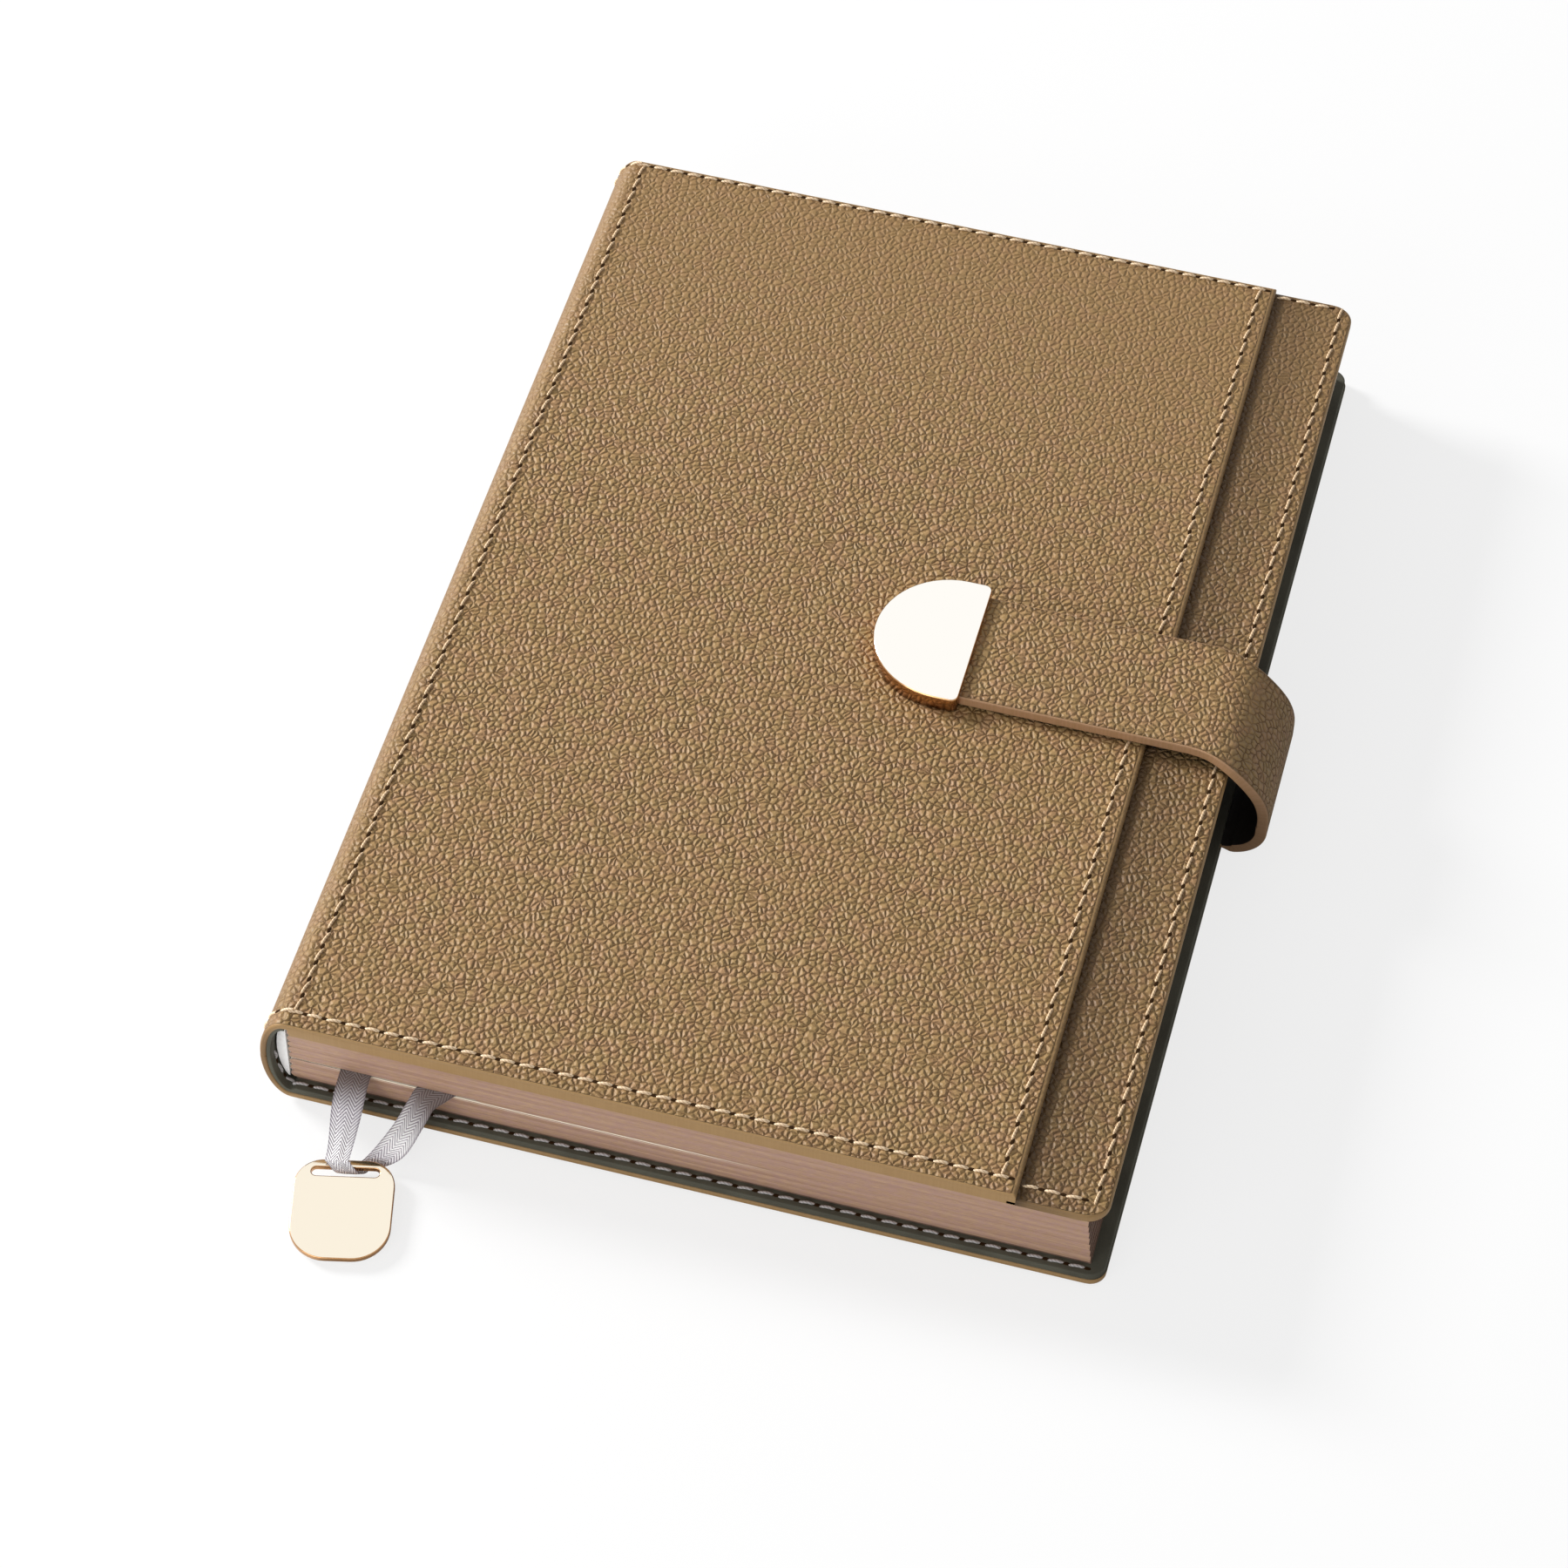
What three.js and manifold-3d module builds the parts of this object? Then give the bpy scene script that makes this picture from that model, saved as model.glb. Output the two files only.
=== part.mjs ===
// A leather journal held shut by a magnetic strap. Millimetres, +Z up.
// X runs from the spine to the fore edge, Y from the tail to the head.
// The origin is on the table, under the middle of the back cover.

import * as THREE from 'three';
import { mergeVertices } from 'three/addons/utils/BufferGeometryUtils.js';
import Module from 'manifold-3d';

const wasm = await Module();
wasm.setup();

// Page block
const PAGE_HEIGHT = 212.8;
const PAGE_WIDTH = 143;
const PAGE_SPINE_X = -70.6;
const PAGE_FORE_X = PAGE_SPINE_X + PAGE_WIDTH;
const ENDPAPER = 0.2;
const REAR_SIGNATURE = 1.75;
const REAR_SIGNATURE_COUNT = 3;
const FRONT_SIGNATURE = 1.52;
const SIGNATURES_PER_SECTION = 2;
const SECTION_COUNT = 3;
const LEAF_GAP = 0.25;
const BLOCK_SEAT = 0.1;

// Covers, which stand out past the pages all round
const COVER_SQUARE = 2.6;
const COVER_HEIGHT = PAGE_HEIGHT + 2 * COVER_SQUARE;
const FOLD_INSET = 0.6;
const FORE_SQUARE = 2.1;
const BACK_LEDGE = 0.7;
const FOLD_X = PAGE_SPINE_X + FOLD_INSET;
const FRONT_FORE_X = PAGE_FORE_X + FORE_SQUARE;
const BACK_FORE_X = FRONT_FORE_X + BACK_LEDGE;
const COVER_CORNER_RADIUS = 4.5;
const FOLD_GAP = 0.2;
const JACKET_LEATHER = 1.2;
const BACK_LINING = 1.5;
const BASE_LEATHER = 1.0;
const FRONT_LINING = 0.7;
const BASE_STRIP_WIDTH = 15.6;
const OVERLAY_FORE_X = FRONT_FORE_X - BASE_STRIP_WIDTH;

// Spine
const SPINE_BULGE = 5;
const SPINE_LINING = 0.8;
const SPINE_LINER_CLEARANCE = 0.3;

// Board inside the back cover, and the strap's skived end beside it
const BOARD_THICKNESS = 0.7;
const BOARD_INSET = 6;
const BOARD_CLEARANCE = 0.3;
const STRAP_TAB_LENGTH = 30;
const STRAP_TAB_THICKNESS = 0.7;

// Ribbon marker and its charm
const RIBBON_WIDTH = 5.5;
const RIBBON_THICKNESS = 0.3;
const RIBBON_CLEARANCE = 0.05;
const RIBBON_HEAD_X = -66.5;
const RIBBON_HEAD_SPACING = 6.2;
const RIBBON_LEFT_X = -58.5;
const RIBBON_RIGHT_X = -43.9;
const RIBBON_TUCK = 4;
const RIBBON_LEDGE = 2.4;
const RIBBON_RIGHT_BOW = 2;
const LEFT_ON_BAR = -1.6;
const RIGHT_ON_BAR = 1.8;
const CHARM_X = -53.8;
const CHARM_DROP = 20.5;
const CHARM_Y = -COVER_HEIGHT / 2 - CHARM_DROP;
const CHARM_TURN = THREE.MathUtils.degToRad(13);
const CHARM_WIDTH = 17.4;
const CHARM_LENGTH = 19.5;
const CHARM_THICKNESS = 1.2;
const CHARM_TOP_RADIUS = 5;
const CHARM_BOTTOM_RADIUS = 6.5;
const CHARM_BEVEL = 0.25;
const CHARM_BAR = 1.5;
const CHARM_SLOT_LENGTH = 11.8;
const CHARM_SLOT_WIDTH = 2.3;
const CHARM_REST_GAP = 0.05;
const BIGHT_CLEARANCE = 0.25;

// Strap
const STRAP_Y = 3.1;
const STRAP_WIDTH = 24.5;
const STRAP_LEATHER = 1.3;
const STRAP_LINING = 0.9;
const STRAP_REST_GAP = 0.2;
const STRAP_STANDOFF = 7.8;
const STRAP_REACH_X = BACK_FORE_X + STRAP_STANDOFF;
const STRAP_JOINT_GAP = 0.3;
const STRAP_ROOT_FLAT = 0.2;
const STRAP_TOP_RADIUS = 13.4;
const STRAP_BOTTOM_RADIUS = STRAP_STANDOFF - STRAP_JOINT_GAP - STRAP_ROOT_FLAT;
const STRAP_GROUND = 0.3;
const STRAP_BEND_INSET = 8.5;
const STRAP_HINGE_X = FRONT_FORE_X - STRAP_BEND_INSET;
const STRAP_SKEW = 3;
const STRAP_ROOT_Y = STRAP_Y - STRAP_SKEW;

// Metal tip with its magnet, and the plate in the front cover that the magnet holds
const TIP_WIDTH = 28.4;
const TIP_LENGTH = 18.8;
const TIP_INSET = 68.9;
const TIP_ROUND_X = FRONT_FORE_X - TIP_INSET;
const TIP_HEIGHT = 3.6;
const TIP_WALL = 0.9;
const TIP_ROOF = 0.9;
const TIP_EDGE_ROUND = 0.8;
const TIP_CORNER_RADIUS = 1.4;
const TIP_PLATE = 0.6;
const TIP_PLATE_CLEARANCE = 0.15;
const STRAP_SLOT_CLEARANCE = 0.2;
const STRAP_INSERT = 7.5;
const MAGNET_RADIUS = 4.4;
const MAGNET_HEIGHT = 1.6;
const KEEPER_LENGTH = 14;
const KEEPER_WIDTH = 20;
const KEEPER_THICKNESS = 0.5;
const KEEPER_CLEARANCE = 0.3;

// Heights of the stack, from the table up
const BACK_TOP = JACKET_LEATHER + BACK_LINING;
const BLOCK_BOTTOM = BACK_TOP + ENDPAPER + BLOCK_SEAT;
const RIBBON_SPACE = RIBBON_THICKNESS + 2 * RIBBON_CLEARANCE;
const PARTING_Z = BLOCK_BOTTOM + REAR_SIGNATURE_COUNT * REAR_SIGNATURE;
const SECTION_THICKNESS = SIGNATURES_PER_SECTION * FRONT_SIGNATURE;
const FRONT_BLOCK_BOTTOM = PARTING_Z + RIBBON_SPACE;
const BLOCK_TOP = FRONT_BLOCK_BOTTOM + SECTION_COUNT * (SECTION_THICKNESS + LEAF_GAP) - LEAF_GAP;
const FRONT_ENDPAPER_Z = BLOCK_TOP + LEAF_GAP;
const FRONT_LINING_Z = FRONT_ENDPAPER_Z + ENDPAPER;
const BASE_Z = FRONT_LINING_Z + FRONT_LINING;
const OVERLAY_Z = BASE_Z + BASE_LEATHER;
const TOP_Z = OVERLAY_Z + JACKET_LEATHER;
const SPINE_MID_Z = TOP_Z / 2;

const STRAP_THICKNESS = STRAP_LEATHER + STRAP_LINING;
const STRAP_BOTTOM_Z = TOP_Z + STRAP_REST_GAP;
const STRAP_TOP_Z = STRAP_BOTTOM_Z + STRAP_THICKNESS;
const STRAP_ROOT_X = BACK_FORE_X + STRAP_JOINT_GAP;
const TIP_FLAT_X = TIP_ROUND_X + TIP_LENGTH;
const MAGNET_X = TIP_ROUND_X + TIP_WALL + MAGNET_RADIUS + 1.2;

const ROUND_STEPS = 10;
const OVERCUT = 1;

const FINISH = {
    leather: { color: 0x967a5a, roughness: 0.62, metalness: 0 },
    lining: { color: 0x5a5548, roughness: 0.7, metalness: 0 },
    strapLining: { color: 0x2a241f, roughness: 0.7, metalness: 0 },
    board: { color: 0x8c7f6a, roughness: 0.9, metalness: 0 },
    paper: { color: 0xf1ead9, roughness: 0.9, metalness: 0 },
    page: { color: 0xb39682, roughness: 0.55, metalness: 0.2 },
    ribbon: { color: 0xa9a3a6, roughness: 0.45, metalness: 0 },
    gold: { color: 0xe9cf9f, roughness: 0.18, metalness: 1 },
    steel: { color: 0x8d9094, roughness: 0.4, metalness: 1 },
};

const root = new THREE.Group();
const frontCover = new THREE.Group();
const strap = new THREE.Group();
const charm = new THREE.Group();
const journal = new THREE.Group();
journal.add(root, frontCover, strap, charm);

// Adds one named piece to a group.
function addPiece(group, name, geometry, finish) {
    const mesh = new THREE.Mesh(geometry, new THREE.MeshStandardMaterial(finish));
    mesh.name = name;
    group.add(mesh);
    return mesh;
}

// A flat sheet whose outline is drawn on X and Y, lying from z upwards.
function sheet(outline, z, thickness) {
    const options = { depth: thickness, bevelEnabled: false, curveSegments: ROUND_STEPS };
    return new THREE.ExtrudeGeometry(outline, options).translate(0, 0, z);
}

// A band whose profile is drawn on X and Z, as wide as given along Y.
function band(profile, middleY, width) {
    const options = { depth: width, bevelEnabled: false, curveSegments: ROUND_STEPS };
    const geometry = new THREE.ExtrudeGeometry(profile, options);
    return geometry.rotateX(Math.PI / 2).translate(0, middleY + width / 2, 0);
}

function block(x0, x1, y0, y1, z0, z1) {
    const geometry = new THREE.BoxGeometry(x1 - x0, y1 - y0, z1 - z0);
    return geometry.translate((x0 + x1) / 2, (y0 + y1) / 2, (z0 + z1) / 2);
}

// Closed geometry to a solid that can be cut.
function solid(geometry) {
    const bare = geometry.index ? geometry.toNonIndexed() : geometry.clone();
    bare.deleteAttribute('normal');
    bare.deleteAttribute('uv');
    const merged = mergeVertices(bare, 1e-4);
    const vertProperties = new Float32Array(merged.attributes.position.array);
    const triVerts = new Uint32Array(merged.index.array);
    return new wasm.Manifold(new wasm.Mesh({ numProp: 3, vertProperties, triVerts }));
}

function geometryOf(manifold) {
    const mesh = manifold.getMesh();
    const geometry = new THREE.BufferGeometry();
    geometry.setAttribute('position', new THREE.BufferAttribute(mesh.vertProperties, 3));
    geometry.setIndex(new THREE.BufferAttribute(mesh.triVerts, 1));
    return geometry;
}

// The first geometry with all the others cut out of it.
function cut(geometry, ...tools) {
    return geometryOf(tools.reduce((body, tool) => body.subtract(solid(tool)), solid(geometry)));
}

function rectangle(x0, x1, y0, y1) {
    const shape = new THREE.Shape();
    shape.moveTo(x0, y0).lineTo(x1, y0).lineTo(x1, y1).lineTo(x0, y1).closePath();
    return shape;
}

// A cover panel: square at the fold, rounded at the two fore corners.
function coverOutline(foldX, foreX) {
    const half = COVER_HEIGHT / 2;
    const r = COVER_CORNER_RADIUS;
    const shape = new THREE.Shape();
    shape.moveTo(foldX, -half).lineTo(foreX - r, -half);
    shape.absarc(foreX - r, -half + r, r, -Math.PI / 2, 0, false);
    shape.lineTo(foreX, half - r);
    shape.absarc(foreX - r, half - r, r, 0, Math.PI / 2, false);
    shape.lineTo(foldX, half).closePath();
    return shape;
}

// Back cover

// The board stops short of the stitching and is notched round the strap's end.
function boardOutline(clearance) {
    const half = COVER_HEIGHT / 2 - BOARD_INSET + clearance;
    const x0 = FOLD_X + BOARD_INSET - clearance;
    const x1 = BACK_FORE_X - BOARD_INSET + clearance;
    const notchX = BACK_FORE_X - STRAP_TAB_LENGTH - 2 * BOARD_CLEARANCE + clearance;
    const notchHalf = STRAP_WIDTH / 2 + 2 * BOARD_CLEARANCE - clearance;
    const shape = new THREE.Shape();
    shape.moveTo(x0, -half).lineTo(x1, -half).lineTo(x1, STRAP_ROOT_Y - notchHalf);
    shape.lineTo(notchX, STRAP_ROOT_Y - notchHalf).lineTo(notchX, STRAP_ROOT_Y + notchHalf);
    shape.lineTo(x1, STRAP_ROOT_Y + notchHalf).lineTo(x1, half).lineTo(x0, half).closePath();
    return shape;
}

function strapTab(clearance, foreX) {
    const half = STRAP_WIDTH / 2 + clearance;
    const x0 = BACK_FORE_X - STRAP_TAB_LENGTH - clearance;
    const top = JACKET_LEATHER + STRAP_TAB_THICKNESS;
    return block(x0, foreX, STRAP_ROOT_Y - half, STRAP_ROOT_Y + half, JACKET_LEATHER, top);
}

function buildBackCover() {
    const outline = coverOutline(FOLD_X, BACK_FORE_X);
    addPiece(root, 'back_leather', sheet(outline, 0, JACKET_LEATHER), FINISH.leather);
    const boardSpace = sheet(boardOutline(BOARD_CLEARANCE), JACKET_LEATHER - OVERCUT, BOARD_THICKNESS + OVERCUT);
    const tabSpace = strapTab(BOARD_CLEARANCE, BACK_FORE_X + OVERCUT);
    const tabUnder = strapTab(BOARD_CLEARANCE, BACK_FORE_X + OVERCUT).translate(0, 0, -STRAP_TAB_THICKNESS / 2);
    const lining = cut(sheet(outline, JACKET_LEATHER, BACK_LINING), boardSpace, tabSpace, tabUnder);
    addPiece(root, 'back_lining', lining, FINISH.lining);
    addPiece(root, 'back_board', sheet(boardOutline(0), JACKET_LEATHER, BOARD_THICKNESS), FINISH.board);
    addPiece(root, 'strap_tab', strapTab(0, BACK_FORE_X), FINISH.leather);
    const half = PAGE_HEIGHT / 2;
    const paper = rectangle(FOLD_X + 2 * FOLD_GAP, PAGE_FORE_X, -half, half);
    addPiece(root, 'back_endpaper', sheet(paper, BACK_TOP, ENDPAPER), FINISH.paper);
}

// Spine

// Half an ellipse from the top fold round to the bottom one, as a strip of the given thickness.
function spineProfile(inset, thickness) {
    const profile = new THREE.Shape();
    const rx = SPINE_BULGE - inset;
    const rz = SPINE_MID_Z - inset;
    profile.moveTo(FOLD_X, SPINE_MID_Z + rz);
    profile.absellipse(FOLD_X, SPINE_MID_Z, rx, rz, Math.PI / 2, 1.5 * Math.PI, false);
    profile.lineTo(FOLD_X, SPINE_MID_Z - rz + thickness);
    profile.absellipse(FOLD_X, SPINE_MID_Z, rx - thickness, rz - thickness, 1.5 * Math.PI, Math.PI / 2, true);
    profile.closePath();
    return profile;
}

// The glued paper on the back of the page block, which fills the curve of the spine.
function spineLinerProfile() {
    const inset = JACKET_LEATHER + SPINE_LINING + SPINE_LINER_CLEARANCE;
    const rx = SPINE_BULGE - inset;
    const rz = SPINE_MID_Z - inset;
    const right = PAGE_SPINE_X - LEAF_GAP;
    const lowest = Math.asin((BLOCK_BOTTOM - SPINE_MID_Z) / rz);
    const highest = Math.asin((BLOCK_TOP - SPINE_MID_Z) / rz);
    const profile = new THREE.Shape();
    profile.moveTo(right, BLOCK_TOP);
    for (let i = 0; i <= ROUND_STEPS; i++) {
        const angle = highest + (lowest - highest) * i / ROUND_STEPS;
        profile.lineTo(FOLD_X - rx * Math.cos(angle), SPINE_MID_Z + rz * Math.sin(angle));
    }
    profile.lineTo(right, BLOCK_BOTTOM).closePath();
    return profile;
}

function buildSpine() {
    const leather = spineProfile(0, JACKET_LEATHER);
    const lining = spineProfile(JACKET_LEATHER, SPINE_LINING);
    addPiece(root, 'spine_leather', band(leather, 0, COVER_HEIGHT), FINISH.leather);
    addPiece(root, 'spine_lining', band(lining, 0, COVER_HEIGHT), FINISH.lining);
    addPiece(root, 'spine_liner', band(spineLinerProfile(), 0, PAGE_HEIGHT), FINISH.paper);
}

// Page block

// One sewn signature: square at the fore edge, folded round at the spine.
function signature(z, thickness) {
    const r = thickness / 2;
    const profile = new THREE.Shape();
    profile.moveTo(PAGE_FORE_X, z).lineTo(PAGE_FORE_X, z + thickness).lineTo(PAGE_SPINE_X + r, z + thickness);
    profile.absarc(PAGE_SPINE_X + r, z + r, r, Math.PI / 2, 1.5 * Math.PI, false);
    profile.closePath();
    return band(profile, 0, PAGE_HEIGHT);
}

function buildPages() {
    for (let i = 0; i < REAR_SIGNATURE_COUNT; i++) {
        const z = BLOCK_BOTTOM + i * REAR_SIGNATURE;
        addPiece(root, `rear_signature_${i + 1}`, signature(z, REAR_SIGNATURE), FINISH.page);
    }
    for (let section = 0; section < SECTION_COUNT; section++) {
        const group = new THREE.Group();
        const sectionZ = FRONT_BLOCK_BOTTOM + section * (SECTION_THICKNESS + LEAF_GAP);
        for (let i = 0; i < SIGNATURES_PER_SECTION; i++) {
            const name = `front_signature_${section * SIGNATURES_PER_SECTION + i + 1}`;
            addPiece(group, name, signature(sectionZ + i * FRONT_SIGNATURE, FRONT_SIGNATURE), FINISH.page);
        }
        journal.add(group);
    }
}

// Front cover

function buildFrontCover() {
    const half = COVER_HEIGHT / 2;
    const foldX = FOLD_X + FOLD_GAP;
    const outline = coverOutline(foldX, FRONT_FORE_X);
    const overlay = rectangle(foldX, OVERLAY_FORE_X, -half, half);
    addPiece(frontCover, 'front_overlay_leather', sheet(overlay, OVERLAY_Z, JACKET_LEATHER), FINISH.leather);

    const keeperBox = (clearance, extra) => block(
        MAGNET_X - KEEPER_LENGTH / 2 - clearance, MAGNET_X + KEEPER_LENGTH / 2 + clearance,
        STRAP_Y - KEEPER_WIDTH / 2 - clearance, STRAP_Y + KEEPER_WIDTH / 2 + clearance,
        OVERLAY_Z - KEEPER_THICKNESS, OVERLAY_Z + extra);
    const base = cut(sheet(outline, BASE_Z, BASE_LEATHER), keeperBox(KEEPER_CLEARANCE, OVERCUT));
    addPiece(frontCover, 'front_base_leather', base, FINISH.leather);
    addPiece(frontCover, 'keeper_plate', keeperBox(0, 0), FINISH.steel);
    addPiece(frontCover, 'front_lining', sheet(outline, FRONT_LINING_Z, FRONT_LINING), FINISH.lining);

    const pageHalf = PAGE_HEIGHT / 2;
    const paper = rectangle(foldX + FOLD_GAP, PAGE_FORE_X, -pageHalf, pageHalf);
    addPiece(frontCover, 'front_endpaper', sheet(paper, FRONT_ENDPAPER_Z, ENDPAPER), FINISH.paper);
}

// Strap

// The loop round the fore edge, between two distances in from the strap's outer face.
function loopProfile(outer, inner) {
    const topX = STRAP_REACH_X - STRAP_TOP_RADIUS;
    const topZ = STRAP_TOP_Z - STRAP_TOP_RADIUS;
    const bottomX = STRAP_REACH_X - STRAP_BOTTOM_RADIUS;
    const bottomZ = STRAP_GROUND + STRAP_BOTTOM_RADIUS;
    const startX = STRAP_HINGE_X + STRAP_JOINT_GAP;
    const profile = new THREE.Shape();
    profile.moveTo(startX, STRAP_TOP_Z - outer).lineTo(topX, STRAP_TOP_Z - outer);
    profile.absarc(topX, topZ, STRAP_TOP_RADIUS - outer, Math.PI / 2, 0, true);
    profile.absarc(bottomX, bottomZ, STRAP_BOTTOM_RADIUS - outer, 0, -Math.PI / 2, true);
    profile.lineTo(STRAP_ROOT_X, STRAP_GROUND + outer).lineTo(STRAP_ROOT_X, STRAP_GROUND + inner);
    profile.absarc(bottomX, bottomZ, STRAP_BOTTOM_RADIUS - inner, -Math.PI / 2, 0, false);
    profile.absarc(topX, topZ, STRAP_TOP_RADIUS - inner, 0, Math.PI / 2, false);
    profile.lineTo(startX, STRAP_TOP_Z - inner).closePath();
    return profile;
}

// Lets the loop slip towards the tail on its way from the front cover down to the back one.
function askew(geometry) {
    const startX = STRAP_HINGE_X + STRAP_JOINT_GAP;
    const sideX = STRAP_REACH_X - STRAP_THICKNESS;
    const place = geometry.attributes.position;
    for (let i = 0; i < place.count; i++) {
        const above = place.getZ(i) > STRAP_TOP_Z - STRAP_TOP_RADIUS;
        const share = above ? THREE.MathUtils.smoothstep(place.getX(i), startX, sideX) : 1;
        place.setY(i, place.getY(i) - STRAP_SKEW * share);
    }
    geometry.computeVertexNormals();
    return geometry;
}

// The half-round outline of the tip, drawn in by the given amount.
function tipOutline(inset) {
    const half = TIP_WIDTH / 2 - inset;
    const centreX = TIP_ROUND_X + TIP_WIDTH / 2;
    const flatX = TIP_FLAT_X - inset;
    const r = Math.max(TIP_CORNER_RADIUS - inset, 0.2);
    const shape = new THREE.Shape();
    shape.moveTo(centreX, STRAP_Y - half).lineTo(flatX - r, STRAP_Y - half);
    shape.absarc(flatX - r, STRAP_Y - half + r, r, -Math.PI / 2, 0, false);
    shape.lineTo(flatX, STRAP_Y + half - r);
    shape.absarc(flatX - r, STRAP_Y + half - r, r, 0, Math.PI / 2, false);
    shape.lineTo(centreX, STRAP_Y + half);
    shape.absarc(centreX, STRAP_Y, half, Math.PI / 2, 1.5 * Math.PI, false);
    return shape;
}

// A domed cap, open underneath, with a mouth in its flat side for the strap.
function tipCap() {
    const bevel = {
        depth: TIP_HEIGHT, bevelEnabled: true, bevelThickness: TIP_EDGE_ROUND,
        bevelSize: TIP_EDGE_ROUND, bevelOffset: -TIP_EDGE_ROUND, bevelSegments: 3, curveSegments: 2 * ROUND_STEPS,
    };
    const rounded = new THREE.ExtrudeGeometry(tipOutline(0), bevel);
    rounded.translate(0, 0, STRAP_BOTTOM_Z - TIP_EDGE_ROUND);
    const far = TIP_WIDTH + TIP_LENGTH;
    const below = block(
        TIP_ROUND_X - far, TIP_FLAT_X + far, STRAP_Y - far, STRAP_Y + far,
        STRAP_BOTTOM_Z - far, STRAP_BOTTOM_Z);
    const hollow = sheet(tipOutline(TIP_WALL), STRAP_BOTTOM_Z - OVERCUT, TIP_HEIGHT - TIP_ROOF + OVERCUT);
    const mouthHalf = STRAP_WIDTH / 2 + STRAP_SLOT_CLEARANCE;
    const mouth = block(
        TIP_FLAT_X - 2 * TIP_WALL, TIP_FLAT_X + OVERCUT, STRAP_Y - mouthHalf, STRAP_Y + mouthHalf,
        STRAP_BOTTOM_Z - OVERCUT, STRAP_TOP_Z + STRAP_SLOT_CLEARANCE);
    return cut(rounded, below, hollow, mouth);
}

function buildStrap() {
    const loopLeather = askew(band(loopProfile(0, STRAP_LEATHER), STRAP_Y, STRAP_WIDTH));
    const loopLining = askew(band(loopProfile(STRAP_LEATHER, STRAP_THICKNESS), STRAP_Y, STRAP_WIDTH));
    addPiece(strap, 'strap_loop_leather', loopLeather, FINISH.leather);
    addPiece(strap, 'strap_loop_lining', loopLining, FINISH.strapLining);

    const y0 = STRAP_Y - STRAP_WIDTH / 2;
    const y1 = STRAP_Y + STRAP_WIDTH / 2;
    const leatherZ = STRAP_BOTTOM_Z + STRAP_LINING;
    const armLeather = block(TIP_FLAT_X - STRAP_INSERT, STRAP_HINGE_X, y0, y1, leatherZ, STRAP_TOP_Z);
    const armLining = block(TIP_FLAT_X + STRAP_JOINT_GAP, STRAP_HINGE_X, y0, y1, STRAP_BOTTOM_Z, leatherZ);
    addPiece(strap, 'strap_arm_leather', armLeather, FINISH.leather);
    addPiece(strap, 'strap_arm_lining', armLining, FINISH.strapLining);

    addPiece(strap, 'tip_cap', tipCap(), FINISH.gold);
    const plate = sheet(tipOutline(TIP_WALL + TIP_PLATE_CLEARANCE), STRAP_BOTTOM_Z, TIP_PLATE);
    addPiece(strap, 'tip_plate', plate, FINISH.gold);
    const magnet = new THREE.CylinderGeometry(MAGNET_RADIUS, MAGNET_RADIUS, MAGNET_HEIGHT, 24);
    magnet.rotateX(Math.PI / 2);
    magnet.translate(MAGNET_X, STRAP_Y, STRAP_BOTTOM_Z + TIP_PLATE + MAGNET_HEIGHT / 2);
    addPiece(strap, 'magnet', magnet, FINISH.steel);
}

// Charm

const BAR_V = (CHARM_LENGTH - CHARM_BAR) / 2;
const BIGHT_RADIUS = Math.hypot(CHARM_BAR, CHARM_THICKNESS) / 2 + BIGHT_CLEARANCE + RIBBON_THICKNESS / 2;
const BAR_Z = BIGHT_RADIUS + RIBBON_THICKNESS / 2;
const CHARM_FOOT_Z = CHARM_THICKNESS / 2 + CHARM_REST_GAP;
const CHARM_TILT = Math.asin((BAR_Z - CHARM_FOOT_Z) / (BAR_V + CHARM_LENGTH / 2));
const CHARM_MIDDLE_Z = BAR_Z - BAR_V * Math.sin(CHARM_TILT);

// A tag with softly rounded corners, drawn about its own middle, with its slot near the top.
function charmOutline(inset) {
    const w = CHARM_WIDTH / 2 - inset;
    const h = CHARM_LENGTH / 2 - inset;
    const top = CHARM_TOP_RADIUS - inset;
    const bottom = CHARM_BOTTOM_RADIUS - inset;
    const shape = new THREE.Shape();
    shape.moveTo(-w + bottom, -h).lineTo(w - bottom, -h);
    shape.absarc(w - bottom, -h + bottom, bottom, -Math.PI / 2, 0, false);
    shape.lineTo(w, h - top);
    shape.absarc(w - top, h - top, top, 0, Math.PI / 2, false);
    shape.lineTo(-w + top, h);
    shape.absarc(-w + top, h - top, top, Math.PI / 2, Math.PI, false);
    shape.lineTo(-w, -h + bottom);
    shape.absarc(-w + bottom, -h + bottom, bottom, Math.PI, 1.5 * Math.PI, false);
    return shape;
}

function charmSlot() {
    const r = CHARM_SLOT_WIDTH / 2;
    const x = CHARM_SLOT_LENGTH / 2 - r;
    const y = CHARM_LENGTH / 2 - CHARM_BAR - r;
    const slot = new THREE.Shape();
    slot.moveTo(-x, y - r).lineTo(x, y - r);
    slot.absarc(x, y, r, -Math.PI / 2, Math.PI / 2, false);
    slot.lineTo(-x, y + r);
    slot.absarc(-x, y, r, Math.PI / 2, 1.5 * Math.PI, false);
    return slot;
}

function placeOnCharm(u, v) {
    const x = CHARM_X + u * Math.cos(CHARM_TURN) - v * Math.sin(CHARM_TURN);
    const y = CHARM_Y + u * Math.sin(CHARM_TURN) + v * Math.cos(CHARM_TURN);
    return new THREE.Vector2(x, y);
}

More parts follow.
